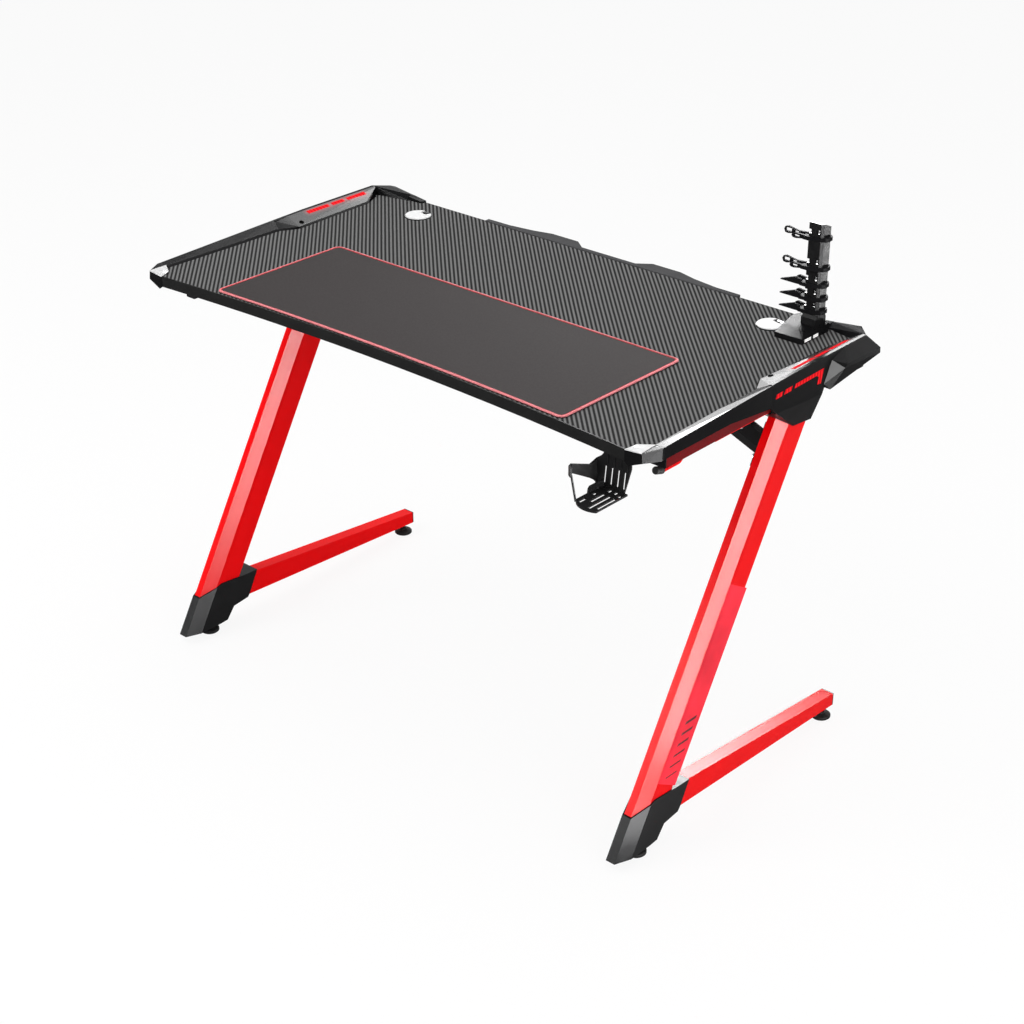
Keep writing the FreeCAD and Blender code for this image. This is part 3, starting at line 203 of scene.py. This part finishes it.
class Paint:
    """One procedural material: a Principled shader and short calls that feed it."""

    def __init__(self, name, colour, roughness, metallic=0.0, specular=0.5):
        self.name = name
        self.material = bpy.data.materials.new(name)
        self.material.use_nodes = True
        self.tree = self.material.node_tree
        self.shader = self.tree.nodes["Principled BSDF"]
        self.set("Base Color", (*colour, 1))
        self.set("Roughness", roughness)
        self.set("Metallic", metallic)
        self.set("Specular IOR Level", specular)
        self.place = self.tree.nodes.new("ShaderNodeTexCoord").outputs["Object"]

    def set(self, socket, value):
        self.shader.inputs[socket].default_value = value

    def feed(self, socket, source):
        self.tree.links.new(source, self.shader.inputs[socket])

    def put(self, kind, inputs, **settings):
        """Adds a node; inputs maps socket names or numbers to values or to other sockets."""
        node = self.tree.nodes.new(kind)
        for key, value in settings.items():
            setattr(node, key, value)
        for key, value in inputs.items():
            if isinstance(value, bpy.types.NodeSocket):
                self.tree.links.new(value, node.inputs[key])
            else:
                node.inputs[key].default_value = value
        return node

    def math(self, operation, first, second=0.0, third=0.0, clamp=False):
        inputs = {0: first, 1: second, 2: third}
        node = self.put("ShaderNodeMath", inputs, operation=operation, use_clamp=clamp)
        return node.outputs[0]

    def coordinates(self):
        """The object coordinates as three sockets: X, Y and Z."""
        return self.put("ShaderNodeSeparateXYZ", {"Vector": self.place}).outputs

    def sine(self, place, pitch):
        """A sine, from -1 to 1, that repeats at each pitch."""
        return self.math("SINE", self.math("MULTIPLY", place, 2 * math.pi / pitch))

    def lifted(self, value):
        """A value from -1 to 1 brought to the range from 0 to 1."""
        return self.math("MULTIPLY_ADD", value, 0.5, 0.5)

    def noise(self, scale, detail, place=None):
        inputs = {
            "Vector": place or self.place, "Scale": scale,
            "Detail": detail, "Roughness": 0.55,
        }
        return self.put("ShaderNodeTexNoise", inputs).outputs["Fac"]

    def stretched(self, scale, turn=(0, 0, 0)):
        """Object coordinates turned and then scaled on each axis."""
        turned = self.put("ShaderNodeMapping", {"Vector": self.place, "Rotation": turn})
        inputs = {"Vector": turned.outputs[0], "Scale": scale}
        return self.put("ShaderNodeMapping", inputs).outputs[0]

    def ramp(self, value, stops):
        """A colour ramp through (position, grey or colour) stops."""
        node = self.put("ShaderNodeValToRGB", {"Fac": value})
        elements = node.color_ramp.elements
        while len(elements) < len(stops):
            elements.new(0.5)
        for element, (at, colour) in zip(elements, stops):
            element.position = at
            grey = isinstance(colour, (int, float))
            element.color = (colour, colour, colour, 1) if grey else (*colour, 1)
        return node.outputs["Color"]

    def bump(self, height, distance, strength, below=None):
        inputs = {"Height": height, "Distance": distance, "Strength": strength}
        if below is not None:
            inputs["Normal"] = below
        normal = self.put("ShaderNodeBump", inputs).outputs[0]
        self.feed("Normal", normal)
        return normal


TWILL_PERIOD = 7.11 * MM
TWILL_DRIFT = 0.6 * MM              # how far the ribs wander
PRINT_BOTTOM = TOP_Z - 0.4 * MM     # the board's edges below this are plain
FIBRE_PITCH = 1.1 * MM
FIBRE_SHIFT = 0.37 * FIBRE_PITCH    # how much later each rib starts its fibres


def twill_laminate():
    """Printed laminate of diagonal twill ribs with fine fibres across each rib."""
    paint = Paint("twill_laminate", (0.1, 0.1, 0.1), 0.55, specular=0.0)
    x, y, z = paint.coordinates()
    across = paint.math("MULTIPLY", paint.math("ADD", x, y), math.sqrt(0.5))
    along = paint.math("MULTIPLY", paint.math("SUBTRACT", y, x), math.sqrt(0.5))
    drift = paint.math("MULTIPLY", paint.noise(14.0, 2.0), TWILL_DRIFT)
    across = paint.math("ADD", across, drift)
    rib = paint.lifted(paint.sine(across, TWILL_PERIOD))
    # the fibres lean across the rib, and each rib starts them at a different place
    rib_number = paint.math("FLOOR", paint.math("DIVIDE", across, TWILL_PERIOD))
    shift = paint.math("MULTIPLY", rib_number, FIBRE_SHIFT)
    fibre_place = paint.math("ADD", paint.math("ADD", along, shift), across)
    fibre = paint.lifted(paint.sine(fibre_place, FIBRE_PITCH))
    tone = paint.math("MULTIPLY_ADD", paint.math("SUBTRACT", fibre, 0.5), 0.10, rib)
    speck = paint.noise(900.0, 2.0)
    tone = paint.math("MULTIPLY_ADD", paint.math("SUBTRACT", speck, 0.5), 0.16, tone)
    printed = paint.math("GREATER_THAN", z, PRINT_BOTTOM)
    tone = paint.math("MULTIPLY", tone, printed)
    stops = [(0.0, 0.024), (0.25, 0.030), (0.55, 0.090), (0.80, 0.155), (1.0, 0.175)]
    paint.feed("Base Color", paint.ramp(tone, stops))
    paint.feed("Roughness", paint.ramp(rib, [(0.0, 0.70), (1.0, 0.50)]))
    below = paint.bump(rib, 0.12 * MM, 0.6)
    paint.bump(fibre, 0.03 * MM, 0.4, below)
    return paint


def moulded(name, colour, roughness, grain, specular):
    """Moulded plastic with a fine spark-eroded grain and faint handling marks."""
    paint = Paint(name, colour, roughness, specular=specular)
    cells = paint.put("ShaderNodeTexVoronoi", {"Vector": paint.place, "Scale": 1 / grain})
    dark = tuple(c * 0.88 for c in colour)
    light = tuple(c * 1.14 + 0.001 for c in colour)
    paint.feed("Base Color", paint.ramp(paint.noise(18.0, 4.0), [(0.25, dark), (0.75, light)]))
    stops = [(0.3, roughness - 0.04), (0.7, roughness + 0.05)]
    paint.feed("Roughness", paint.ramp(paint.noise(60.0, 3.0), stops))
    paint.bump(cells.outputs["Distance"], 0.04 * MM, 0.5)
    return paint


def port_white_painted_glow():
    """White socket blocks with a painted glow: an emission that lifts them out of the shade they sit
    in.
    """
    paint = moulded("port_white", (0.93, 0.93, 0.92), 0.45, 0.5 * MM, 0.06)
    # painted glow
    paint.set("Emission Color", (1.0, 1.0, 0.98, 1.0))
    paint.set("Emission Strength", 0.45)
    return paint


def glossy(name, colour, roughness, specular):
    """Gloss-finished plastic: a faint waviness and soft swirl marks."""
    paint = Paint(name, colour, roughness, specular=specular)
    dark = tuple(c * 0.85 for c in colour)
    light = tuple(c * 1.2 + 0.001 for c in colour)
    paint.feed("Base Color", paint.ramp(paint.noise(9.0, 3.0), [(0.3, dark), (0.7, light)]))
    swirl = paint.noise(1.0, 4.0, paint.stretched((260.0, 38.0, 120.0), (0, 0, 0.5)))
    stops = [(0.35, roughness - 0.01), (0.75, roughness + 0.01)]
    paint.feed("Roughness", paint.ramp(swirl, stops))
    paint.bump(paint.noise(55.0, 2.0), 0.02 * MM, 0.2)
    return paint


RAIL_BLACK = (0.002, 0.002, 0.0024)
# painted sheen: a lighter grey with almost no shine for the left slim rail, standing in for the
# reflection on it
PAINTED_SHEEN_GREY = (0.021, 0.021, 0.0215)
PAINTED_SHEEN_SPECULAR = 0.003
PAINTED_SHEEN_END = MID_Y - 22.0 * MM          # the slim rail in front of this gets the painted sheen
PAINTED_SHEEN_FADE = 34.0 * MM
# painted glow: a red emission on the rail beside the light strips, where their spilt light would
# fall
PAINTED_GLOW_RED = (0.42, 0.055, 0.065)
SPILL_X = 553.6 * MM                   # the light strips' distance from the desk's middle
SPILL_Y = MID_Y + 138.0 * MM           # halfway along them
SPILL_WIDTH = 15.0 * MM                # how far to either side the painted glow reaches
SPILL_LENGTH = 86.0 * MM               # and to the front and the rear
SPILL_FADE = 14.0 * MM


def gloss_with_painted_glow(name, colour, roughness, specular, painted_sheen=None):
    """The same plastic with a painted red glow: an emission where the panel's light strips would
    spill their light over it.

    With a painted sheen colour, the slim rail in front of the panel is painted a lighter grey in
    place of its reflection, and hardly shines.
    """
    paint = glossy(name, colour, roughness, specular)
    x, y, z = paint.coordinates()
    if painted_sheen:
        # painted sheen: the lighter grey on the slim rail in front of the panel
        behind = paint.math("SUBTRACT", y, PAINTED_SHEEN_END)
        panel = paint.math("DIVIDE", behind, PAINTED_SHEEN_FADE, clamp=True)
        paint.feed("Base Color", paint.ramp(panel, [(0.0, painted_sheen), (1.0, colour)]))
        shine = paint.ramp(panel, [(0.0, PAINTED_SHEEN_SPECULAR), (1.0, specular)])
        paint.feed("Specular IOR Level", shine)
    # painted glow: red emission, strongest beside the light strips and fading away from them
    sideways = paint.math("SUBTRACT", paint.math("ABSOLUTE", x), SPILL_X)
    sideways = paint.math("DIVIDE", paint.math("ABSOLUTE", sideways), SPILL_WIDTH)
    near = paint.math("SUBTRACT", 1.0, sideways, clamp=True)
    lengthways = paint.math("ABSOLUTE", paint.math("SUBTRACT", y, SPILL_Y))
    before_end = paint.math("SUBTRACT", SPILL_LENGTH, lengthways)
    beside = paint.math("DIVIDE", before_end, SPILL_FADE, clamp=True)
    above = paint.math("GREATER_THAN", z, TOP_Z)
    share = paint.math("MULTIPLY", near, near)
    share = paint.math("MULTIPLY", share, paint.math("MULTIPLY", beside, above))
    paint.set("Emission Strength", 1.0)
    paint.feed("Emission Color", paint.ramp(share, [(0.0, 0.0), (1.0, PAINTED_GLOW_RED)]))
    return paint


def powder_red(name, colour):
    """Powder coat with a fine orange peel."""
    paint = Paint(name, colour, 0.30, specular=0.03)
    dark = tuple(c * 0.93 for c in colour)
    paint.feed("Base Color", paint.ramp(paint.noise(6.0, 3.0), [(0.3, dark), (0.7, colour)]))
    paint.feed("Roughness", paint.ramp(paint.noise(40.0, 3.0), [(0.3, 0.19), (0.7, 0.25)]))
    paint.bump(paint.noise(620.0, 2.0), 0.05 * MM, 0.35)
    return paint


def silver_lacquer(name, low, high):
    """Pale silver lacquer over a brushed grain, with a soft low sheen."""
    paint = Paint(name, (high, high, high), 0.42, specular=0.003)
    streak = paint.noise(1.0, 4.0, paint.stretched((40.0, 1400.0, 40.0)))
    paint.feed("Base Color", paint.ramp(streak, [(0.3, low), (0.7, high)]))
    paint.feed("Roughness", paint.ramp(streak, [(0.3, 0.36), (0.7, 0.50)]))
    paint.bump(streak, 0.03 * MM, 0.4)
    return paint


def zinc():
    """Zinc plating with a cloudy bloom."""
    paint = Paint("zinc_screw", (0.52, 0.53, 0.55), 0.35, metallic=1.0)
    bloom = paint.noise(300.0, 3.0)
    paint.feed("Base Color", paint.ramp(bloom, [(0.3, 0.42), (0.7, 0.60)]))
    paint.feed("Roughness", paint.ramp(bloom, [(0.3, 0.28), (0.7, 0.46)]))
    return paint


KNIT_PITCH = 0.9 * MM


def pad_fabric():
    """Tightly knitted polyester: a fine over and under grid with a soft sheen."""
    paint = Paint("pad_cloth", (0.03, 0.027, 0.027), 0.85, specular=0.01)
    paint.set("Sheen Weight", 0.02)
    x, y, _ = paint.coordinates()
    rows = paint.sine(x, KNIT_PITCH)
    loops = paint.sine(y, KNIT_PITCH)
    knit = paint.lifted(paint.math("MULTIPLY", rows, loops))
    mottle = paint.math("MULTIPLY", paint.noise(420.0, 4.0), 0.65)
    tone = paint.math("MULTIPLY_ADD", knit, 0.35, mottle)
    stops = [(0.30, (0.030, 0.026, 0.026)), (0.70, (0.044, 0.039, 0.039))]
    paint.feed("Base Color", paint.ramp(tone, stops))
    paint.bump(knit, 0.12 * MM, 0.5)
    return paint


def thread(name, colour):
    """Spun polyester thread, lighter where its fibres turn up."""
    paint = Paint(name, colour, 0.6, specular=0.02)
    paint.set("Sheen Weight", 0.05)
    twist = paint.noise(1400.0, 3.0)
    dark = tuple(c * 0.75 for c in colour)
    light = tuple(min(1, c * 1.2) for c in colour)
    paint.feed("Base Color", paint.ramp(twist, [(0.3, dark), (0.7, light)]))
    paint.bump(twist, 0.1 * MM, 0.5)
    return paint


LAMP_PITCH = 8.0 * MM


def glowing_red():
    """Red diffuser in front of small lamps: brighter over each lamp than between them."""
    paint = Paint("light_red", (0.85, 0.03, 0.03), 0.28, specular=0.0)
    _, y, _ = paint.coordinates()
    pulse = paint.lifted(paint.sine(y, LAMP_PITCH))
    stops = [(0.0, (0.48, 0.006, 0.010)), (1.0, (0.78, 0.018, 0.022))]
    colour = paint.ramp(pulse, stops)
    paint.feed("Base Color", colour)
    paint.feed("Emission Color", colour)
    paint.set("Emission Strength", 0.35)
    paint.bump(paint.noise(700.0, 2.0), 0.03 * MM, 0.3)
    return paint


def circuit_green():
    """Circuit strip with long thin tracks."""
    paint = Paint("circuit_board", (0.02, 0.05, 0.03), 0.45)
    tracks = paint.noise(1.0, 2.0, paint.stretched((900.0, 160.0, 900.0)))
    stops = [(0.45, (0.012, 0.035, 0.02)), (0.55, (0.03, 0.08, 0.045))]
    paint.feed("Base Color", paint.ramp(tracks, stops))
    paint.bump(tracks, 0.05 * MM, 0.4)
    return paint


def rubber():
    """Dull rubber with scuffs."""
    paint = Paint("rubber", (0.017, 0.017, 0.018), 0.62, specular=0.02)
    scuff = paint.noise(130.0, 4.0)
    paint.feed("Base Color", paint.ramp(scuff, [(0.3, 0.012), (0.75, 0.026)]))
    paint.feed("Roughness", paint.ramp(scuff, [(0.3, 0.55), (0.75, 0.72)]))
    paint.bump(paint.noise(1500.0, 2.0), 0.05 * MM, 0.5)
    return paint


def make_finishes():
    """A material for each slot of the record and for each finish that only some nodes have."""
    paints = (
        twill_laminate(),
        moulded("black_edge", (0.013, 0.013, 0.013), 0.45, 0.6 * MM, 0.008),
        # both rail finishes carry the painted red glow beside the light strips
        gloss_with_painted_glow("rail_gloss", RAIL_BLACK, 0.20, 0.02),
        # this one also has the painted sheen of the left slim rail
        gloss_with_painted_glow("rail_painted_sheen", RAIL_BLACK, 0.20, 0.02, PAINTED_SHEEN_GREY),
        glossy("cap_gloss", (0.006, 0.006, 0.0065), 0.26, 0.01),
        glossy("fascia_gloss", (0.010, 0.010, 0.0104), 0.24, 0.004),
        moulded("button_black", (0.003, 0.003, 0.003), 0.60, 0.5 * MM, 0.0),
        moulded("strip_grey", (0.075, 0.075, 0.077), 0.55, 0.6 * MM, 0.0),
        moulded("tier_satin", (0.010, 0.010, 0.011), 0.45, 0.5 * MM, 0.003),
        moulded("corner_satin", (0.010, 0.010, 0.011), 0.50, 0.6 * MM, 0.002),
        silver_lacquer("silver_plate", 0.44, 0.70),
        silver_lacquer("lid_silver", 0.62, 0.76),
        powder_red("red_paint", (0.97, 0.001, 0.003)),
        # painted shade: a dark copy of the red paint for the upper rails, which lie in the board's
        # shadow
        powder_red("red_paint_painted_shade", (0.17, 0.002, 0.004)),
        moulded("black_paint", (0.007, 0.007, 0.0075), 0.40, 0.9 * MM, 0.02),
        moulded("boot_plastic", (0.005, 0.005, 0.0055), 0.32, 0.7 * MM, 0.04),
        moulded("cup_plastic", (0.012, 0.012, 0.0125), 0.36, 0.6 * MM, 0.03),
        glowing_red(),
        circuit_green(),
        pad_fabric(),
        thread("pad_thread", (0.52, 0.05, 0.06)),
        # painted highlight: a lighter pink for the stitches' outer part, where they turn over the
        # pad's edge
        thread("pad_thread_painted_highlight", (0.85, 0.26, 0.28)),
        glossy("decal_film", (0.97, 0.030, 0.055), 0.30, 0.03),
        moulded("decal_bars", (0.060, 0.002, 0.003), 0.40, 0.6 * MM, 0.06),
        rubber(),
        zinc(),
        moulded("stand_plastic", (0.006, 0.006, 0.0065), 0.30, 0.5 * MM, 0.04),
        port_white_painted_glow(),
    )
    return {paint.name: paint.material for paint in paints}


# nodes whose finish isn't the common one of their slot
OWN_FINISH = {
    "corner_cap_left": "cap_gloss", "corner_cap_right": "cap_gloss",
    "rear_corner_left": "cap_gloss", "rear_corner_right": "corner_satin",
    # the upper rails get the painted shade of the red paint
    "upper_rail_left": "red_paint_painted_shade", "upper_rail_right": "red_paint_painted_shade",
    # the left slim rail gets the painted sheen
    "rear_edge_strip": "strip_grey", "side_rail_left": "rail_painted_sheen",
    "light_button_left": "button_black", "light_button_right": "button_black",
    "rail_end_plugs": "corner_satin",
    "grommet_cap_left": "lid_silver", "grommet_cap_right": "lid_silver",
    **{f"holder_tier_{level}": "tier_satin" for level in range(1, 6)},
}
EDGE_WIDTH = 0.5 * MM
EDGE_ANGLE = math.radians(32)       # sharper edges than this are rounded
UNROUNDED = "desktop_board"


def dress_nodes():
    """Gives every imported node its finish, and all but the board a small worn edge."""
    for entry in frame["record"]["subparts"]:
        mesh = nodes[entry["node"]].data
        mesh.materials.clear()
        mesh.materials.append(finishes[OWN_FINISH.get(entry["node"], entry["material_slot"])])
    for name, node in nodes.items():
        if name == UNROUNDED:
            continue
        bevel = node.modifiers.new("edge", "BEVEL")
        bevel.width = EDGE_WIDTH
        bevel.segments = 2
        bevel.limit_method = "ANGLE"
        bevel.angle_limit = EDGE_ANGLE


# ---------------------------------------------------------------- pieces


def closed_skin(shape, rings):
    """Quads between neighbouring rings of points and a face on each end; returns the faces."""
    made = [[shape.verts.new(point) for point in ring] for ring in rings]
    faces = []
    for low, high in zip(made, made[1:]):
        for k in range(len(low)):
            n = (k + 1) % len(low)
            faces.append(shape.faces.new((low[k], low[n], high[n], high[k])))
    for end in (made[0], made[-1]):
        faces.append(shape.faces.new(end))
    return faces


def mesh_piece(name, body, material, shape, smooth=True):
    """Turns a bmesh into a piece of the model on a body and a material."""
    mesh = bpy.data.meshes.new(name)
    bmesh.ops.recalc_face_normals(shape, faces=shape.faces)
    shape.to_mesh(mesh)
    shape.free()
    mesh.materials.append(material)
    piece = bpy.data.objects.new(name, mesh)
    scene.collection.objects.link(piece)
    for face in mesh.polygons:
        face.use_smooth = smooth
    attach(piece, body)
    return piece


# ---- mouse pad: a flat cloth pad with an overlocked red edge ----

PAD_LEFT = -396.8 * MM
PAD_RIGHT = 388.2 * MM
PAD_REAR = MID_Y - 8.5 * MM
PAD_FRONT = MID_Y - 302.6 * MM     # at the pad's two front corners
PAD_HOLLOW = 10.4 * MM             # how far the front edge's middle lies behind them
PAD_CORNER = 12.0 * MM
PAD_BASE = 750.1 * MM
PAD_THICK = 3.0 * MM
PAD_RIPPLE = 0.12 * MM
# (inset, height) in mm round the pad's edge, from its underside to where its top is level
PAD_EDGE = ((1.4, 0.0), (0.35, 0.2), (0.15, 1.0), (0.15, 2.2), (0.6, 2.85), (1.8, 3.0), (5.5, 3.0))
# how far the rings of the pad's faces shrink towards its middle line
UNDERSIDE_SHARES = (0.9, 0.6, 0.3)
TOP_SHARES = (0.06, 0.14, 0.25, 0.38, 0.52, 0.66, 0.80, 0.92)
MIDDLE_LINE_END = PAD_RIGHT - 140 * MM
FRONT_STEPS = 60
CORNER_STEPS = 12


def neighbours(points):
    """Each point of a closed line with the next one."""
    return zip(points, points[1:] + points[:1])


def spread(rough, spacing):
    """A closed line's points, spaced evenly at close to the spacing."""
    loop = [p for p, q in neighbours(rough) if (p - q).length > 1e-6]
    gaps = [(q - p).length for p, q in neighbours(loop)]
    count = round(sum(gaps) / spacing)
    step = sum(gaps) / count
    points = []
    walked = 0.0
    for (p, q), gap in zip(neighbours(loop), gaps):
        while len(points) < count and len(points) * step <= walked + gap + 1e-9:
            points.append(p.lerp(q, (len(points) * step - walked) / gap))
        walked += gap
    return points


def inward(points):
    """The unit direction into the loop at each of its points."""
    count = len(points)
    directions = []
    for k in range(count):
        along = points[(k + 1) % count] - points[k - 1]
        directions.append(Vector((-along.y, along.x, 0)).normalized())
    return directions


def pad_front(x):
    middle = (PAD_LEFT + PAD_RIGHT) / 2
    return PAD_FRONT + PAD_HOLLOW * (1 - ((x - middle) / (PAD_RIGHT - middle)) ** 2)


def pad_outline(spacing):
    """Points round the pad's edge, anticlockwise, at an even spacing."""
    radius = PAD_CORNER
    rough = []
    for k in range(FRONT_STEPS + 1):
        x = PAD_LEFT + radius + (PAD_RIGHT - PAD_LEFT - 2 * radius) * k / FRONT_STEPS
        rough.append(Vector((x, pad_front(x), 0)))
    corners = (
        (PAD_RIGHT - radius, pad_front(PAD_RIGHT - radius) + radius, -90),
        (PAD_RIGHT - radius, PAD_REAR - radius, 0),
        (PAD_LEFT + radius, PAD_REAR - radius, 90),
        (PAD_LEFT + radius, pad_front(PAD_LEFT + radius) + radius, 180),
    )
    for x, y, start in corners:
        for k in range(CORNER_STEPS + 1):
            angle = math.radians(start + 90 * k / CORNER_STEPS)
            rough.append(Vector((x + radius * math.cos(angle), y + radius * math.sin(angle), 0)))
    return spread(rough, spacing)


def wave(x, y):
    """The pad's faint waves, from -1 to 1; one is about 0.27 m long in X and 0.20 m in Y."""
    return math.sin(x * 23 + 1.3) * math.sin(y * 31 + 0.4)


def make_pad():
    """The pad's cloth top and rubber base as one closed sheet that lies on the board."""
    outline = pad_outline(4.0 * MM)
    into = inward(outline)
    middle_y = (pad_front(0) + PAD_REAR) / 2

    def ring(inset, height, share=0.0, ripple=0.0):
        """The outline moved in by the inset, then by the share of the way to the middle line."""
        points = []
        for point, direction in zip(outline, into):
            edge = point + direction * inset
            middle_x = max(-MIDDLE_LINE_END, min(MIDDLE_LINE_END, edge.x))
            spot = edge.lerp(Vector((middle_x, middle_y, 0)), share)
            z = PAD_BASE + height + ripple * wave(spot.x, spot.y)
            points.append(Vector((spot.x, spot.y, z)))
        return points

    rings = [ring(0, 0, share) for share in UNDERSIDE_SHARES]
    rings += [ring(inset * MM, height * MM) for inset, height in PAD_EDGE]
    level = PAD_EDGE[-1][0] * MM
    rings += [ring(level, PAD_THICK, share, PAD_RIPPLE) for share in TOP_SHARES]
    shape = bmesh.new()
    closed_skin(shape, rings)
    pad = mesh_piece("pad_cloth_top", "mouse_pad", finishes["pad_cloth"], shape)
    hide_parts("mouse_pad")
    return pad, outline


STITCH_PITCH = 1.9 * MM
STITCH_LEAN = 0.9 * STITCH_PITCH   # how far a stitch moves along the edge from end to end
# (inset, height) in mm along a stitch, from the pad's top over its edge
STITCH_PATH = (
    (5.0, 2.9), (4.3, 3.25), (2.8, 3.5), (1.3, 3.45), (0.2, 3.0), (-0.25, 2.2), (0.1, 1.35),
)
WOBBLE = 0.12 * MM
WOBBLE_TURN = 2.4                  # radians from one stitch to the next
THREAD_RADIUS = 0.52 * MM
THREAD_SIDES = 5
THREAD_FLATTENING = 1.5
THREAD_END = 0.55                  # how thick a thread's ends are, beside its middle
PAINTED_HIGHLIGHT_REACH = 2.4 * MM            # painted highlight: the outer part of each stitch, where it rolls over the edge, is in a lighter pink


def stitch_line(number, point, into, along):
    """The middle line of one stitch at a point of the pad's edge."""
    wobble = math.sin(number * WOBBLE_TURN) * WOBBLE
    line = []
    for k, (inset, height) in enumerate(STITCH_PATH):
        lean = (k / (len(STITCH_PATH) - 1) - 0.5) * STITCH_LEAN
        spot = point + into * (inset * MM + wobble) + along * lean
        line.append(Vector((spot.x, spot.y, PAD_BASE + height * MM)))
    return line


def thread_rings(line, along):
    """Rings of a flattened thread round its middle line, with thinner ends."""
    last = len(line) - 1
    rings = []
    for k, spot in enumerate(line):
        run = (line[min(k + 1, last)] - line[max(k - 1, 0)]).normalized()
        out = run.cross(along).normalized()
        side = out.cross(run).normalized()
        radius = THREAD_RADIUS * (THREAD_END if k in (0, last) else 1.0)
        ring = []
        for n in range(THREAD_SIDES):
            angle = 2 * math.pi * n / THREAD_SIDES
            reach = side * math.cos(angle) * THREAD_FLATTENING + out * math.sin(angle)
            ring.append(spot + reach * radius)
        rings.append(ring)
    return rings


def make_pad_stitches():
    """Overlock stitches: one short thread after another, each bent over the pad's edge."""
    outline = pad_outline(STITCH_PITCH)
    shape = bmesh.new()
    for number, (point, into) in enumerate(zip(outline, inward(outline))):
        along = Vector((into.y, -into.x, 0))
        line = stitch_line(number, point, into, along)
        for face in closed_skin(shape, thread_rings(line, along)):
            # painted highlight on the outer part of each stitch
            outer = (face.calc_center_median() - point).dot(into) < PAINTED_HIGHLIGHT_REACH
            face.material_index = 1 if outer else 0
    piece = mesh_piece("pad_edge_stitches", "mouse_pad", finishes["pad_thread"], shape)
    piece.data.materials.append(finishes["pad_thread_painted_highlight"])
    return piece


# ---- decals on the outer sides of the posts ----

POST_LEAN = math.radians(30.04)
POST_FOOT_Y = MID_Y - 344.3 * MM
POST_SIDE_X = (530.3 + 18.4) * MM
# places on a post's side: depth is behind its front plane, span is up along it
FILM_DEPTH = (24.8 * MM, 79.0 * MM)
FILM_SPAN = (163.5 * MM, 508.0 * MM)
FILM_THICK = 0.25 * MM
FILM_SINK = 0.05 * MM              # how far the film reaches into the post
PATCH_RIM = 0.3 * MM               # the width of a patch's slanted rim
SLASH_COUNT = 6
SLASH_START = 9.0 * MM
SLASH_PITCH = 18.9 * MM
SLASH_DEPTH = (42.5 * MM, 67.5 * MM)
SLASH_RISE = 14.0 * MM
SLASH_WIDTH = 2.6 * MM
SLASH_GROWTH = 0.55 * MM           # how much wider each bar is than the one below it
SLASH_THICK = 0.12 * MM            # above the film


def post_side(side, depth, along, out):
    """A place on a post's outer side: depth behind its front plane, along it from the floor."""
    y = POST_FOOT_Y + depth * math.cos(POST_LEAN) + along * math.sin(POST_LEAN)
    z = -depth * math.sin(POST_LEAN) + along * math.cos(POST_LEAN)
    return Vector((side * (POST_SIDE_X + out), y, z))


def raised_patch(shape, side, outline, low, high):
    """A thin raised patch on a post's side, with a slanted rim; outline is (depth, along)."""
    middle_depth, middle_along = (sum(p[k] for p in outline) / len(outline) for k in (0, 1))
    rings = []
    for shrink, out in ((0.0, low), (0.0, high * 0.7), (PATCH_RIM, high)):
        ring = []
        for depth, along in outline:
            reach = math.hypot(depth - middle_depth, along - middle_along)
            share = 1 - shrink / reach
            ring.append(post_side(
                side,
                middle_depth + (depth - middle_depth) * share,
                middle_along + (along - middle_along) * share,
                out,
            ))
        rings.append(ring)
    closed_skin(shape, rings)


def make_decals():
    """A long lighter film on each post's outer side, with a row of slanted dark bars on it."""
    film = bmesh.new()
    bars = bmesh.new()
    near, far = FILM_DEPTH
    low, high = FILM_SPAN
    bar_near, bar_far = SLASH_DEPTH
    for side in (1, -1):
        outline = [(near, low), (far, low), (far, high), (near, high)]
        raised_patch(film, side, outline, -FILM_SINK, FILM_THICK)
        for k in range(SLASH_COUNT):
            start = low + SLASH_START + SLASH_PITCH * k
            end = start + SLASH_RISE
            width = SLASH_WIDTH + SLASH_GROWTH * k
            slash = [
                (bar_near, start), (bar_far, end), (bar_far, end + width), (bar_near, start + width),
            ]
            raised_patch(bars, side, slash, FILM_THICK * 0.5, FILM_THICK + SLASH_THICK)
    mesh_piece("post_decal_film", "desk", finishes["decal_film"], film, smooth=False)
    mesh_piece("post_decal_bars", "desk", finishes["decal_bars"], bars, smooth=False)


# ---- studs in the silver corner plates ----

STUD_PLACE = Vector((531.5 * MM, MID_Y - 305.0 * MM, 753.0 * MM))
STUD_AXIS = Vector((-0.105, -0.0505, 1.0))
# (radius, height) in mm
STUD_PROFILE = (
    (3.6, -0.5), (3.6, 0.20), (3.3, 0.45), (2.7, 0.50), (2.5, 0.25), (2.0, 0.25),
    (1.8, 0.60), (1.1, 0.80), (0.4, 0.86),
)
STUD_SIDES = 32


def make_studs():
    """A small turned stud through each corner plate."""
    shape = bmesh.new()
    for side in (1, -1):
        place = Vector((side * STUD_PLACE.x, STUD_PLACE.y, STUD_PLACE.z))
        axis = Vector((side * STUD_AXIS.x, STUD_AXIS.y, STUD_AXIS.z)).normalized()
        turn = axis.to_track_quat("Z", "Y").to_matrix()
        rings = []
        for radius, height in STUD_PROFILE:
            ring = []
            for k in range(STUD_SIDES):
                angle = 2 * math.pi * k / STUD_SIDES
                spot = Vector((radius * math.cos(angle), radius * math.sin(angle), height))
                ring.append(place + turn @ (spot * MM))
            rings.append(ring)
        closed_skin(shape, rings)
    mesh_piece("corner_studs", "desk", finishes["zinc_screw"], shape)


scene.view_settings.view_transform = "Standard"
make_camera()
make_world()
make_floor()
make_lamps()
finishes = make_finishes()
dress_nodes()
pad, pad_line = make_pad()
pad_stitches = make_pad_stitches()
make_decals()
make_studs()
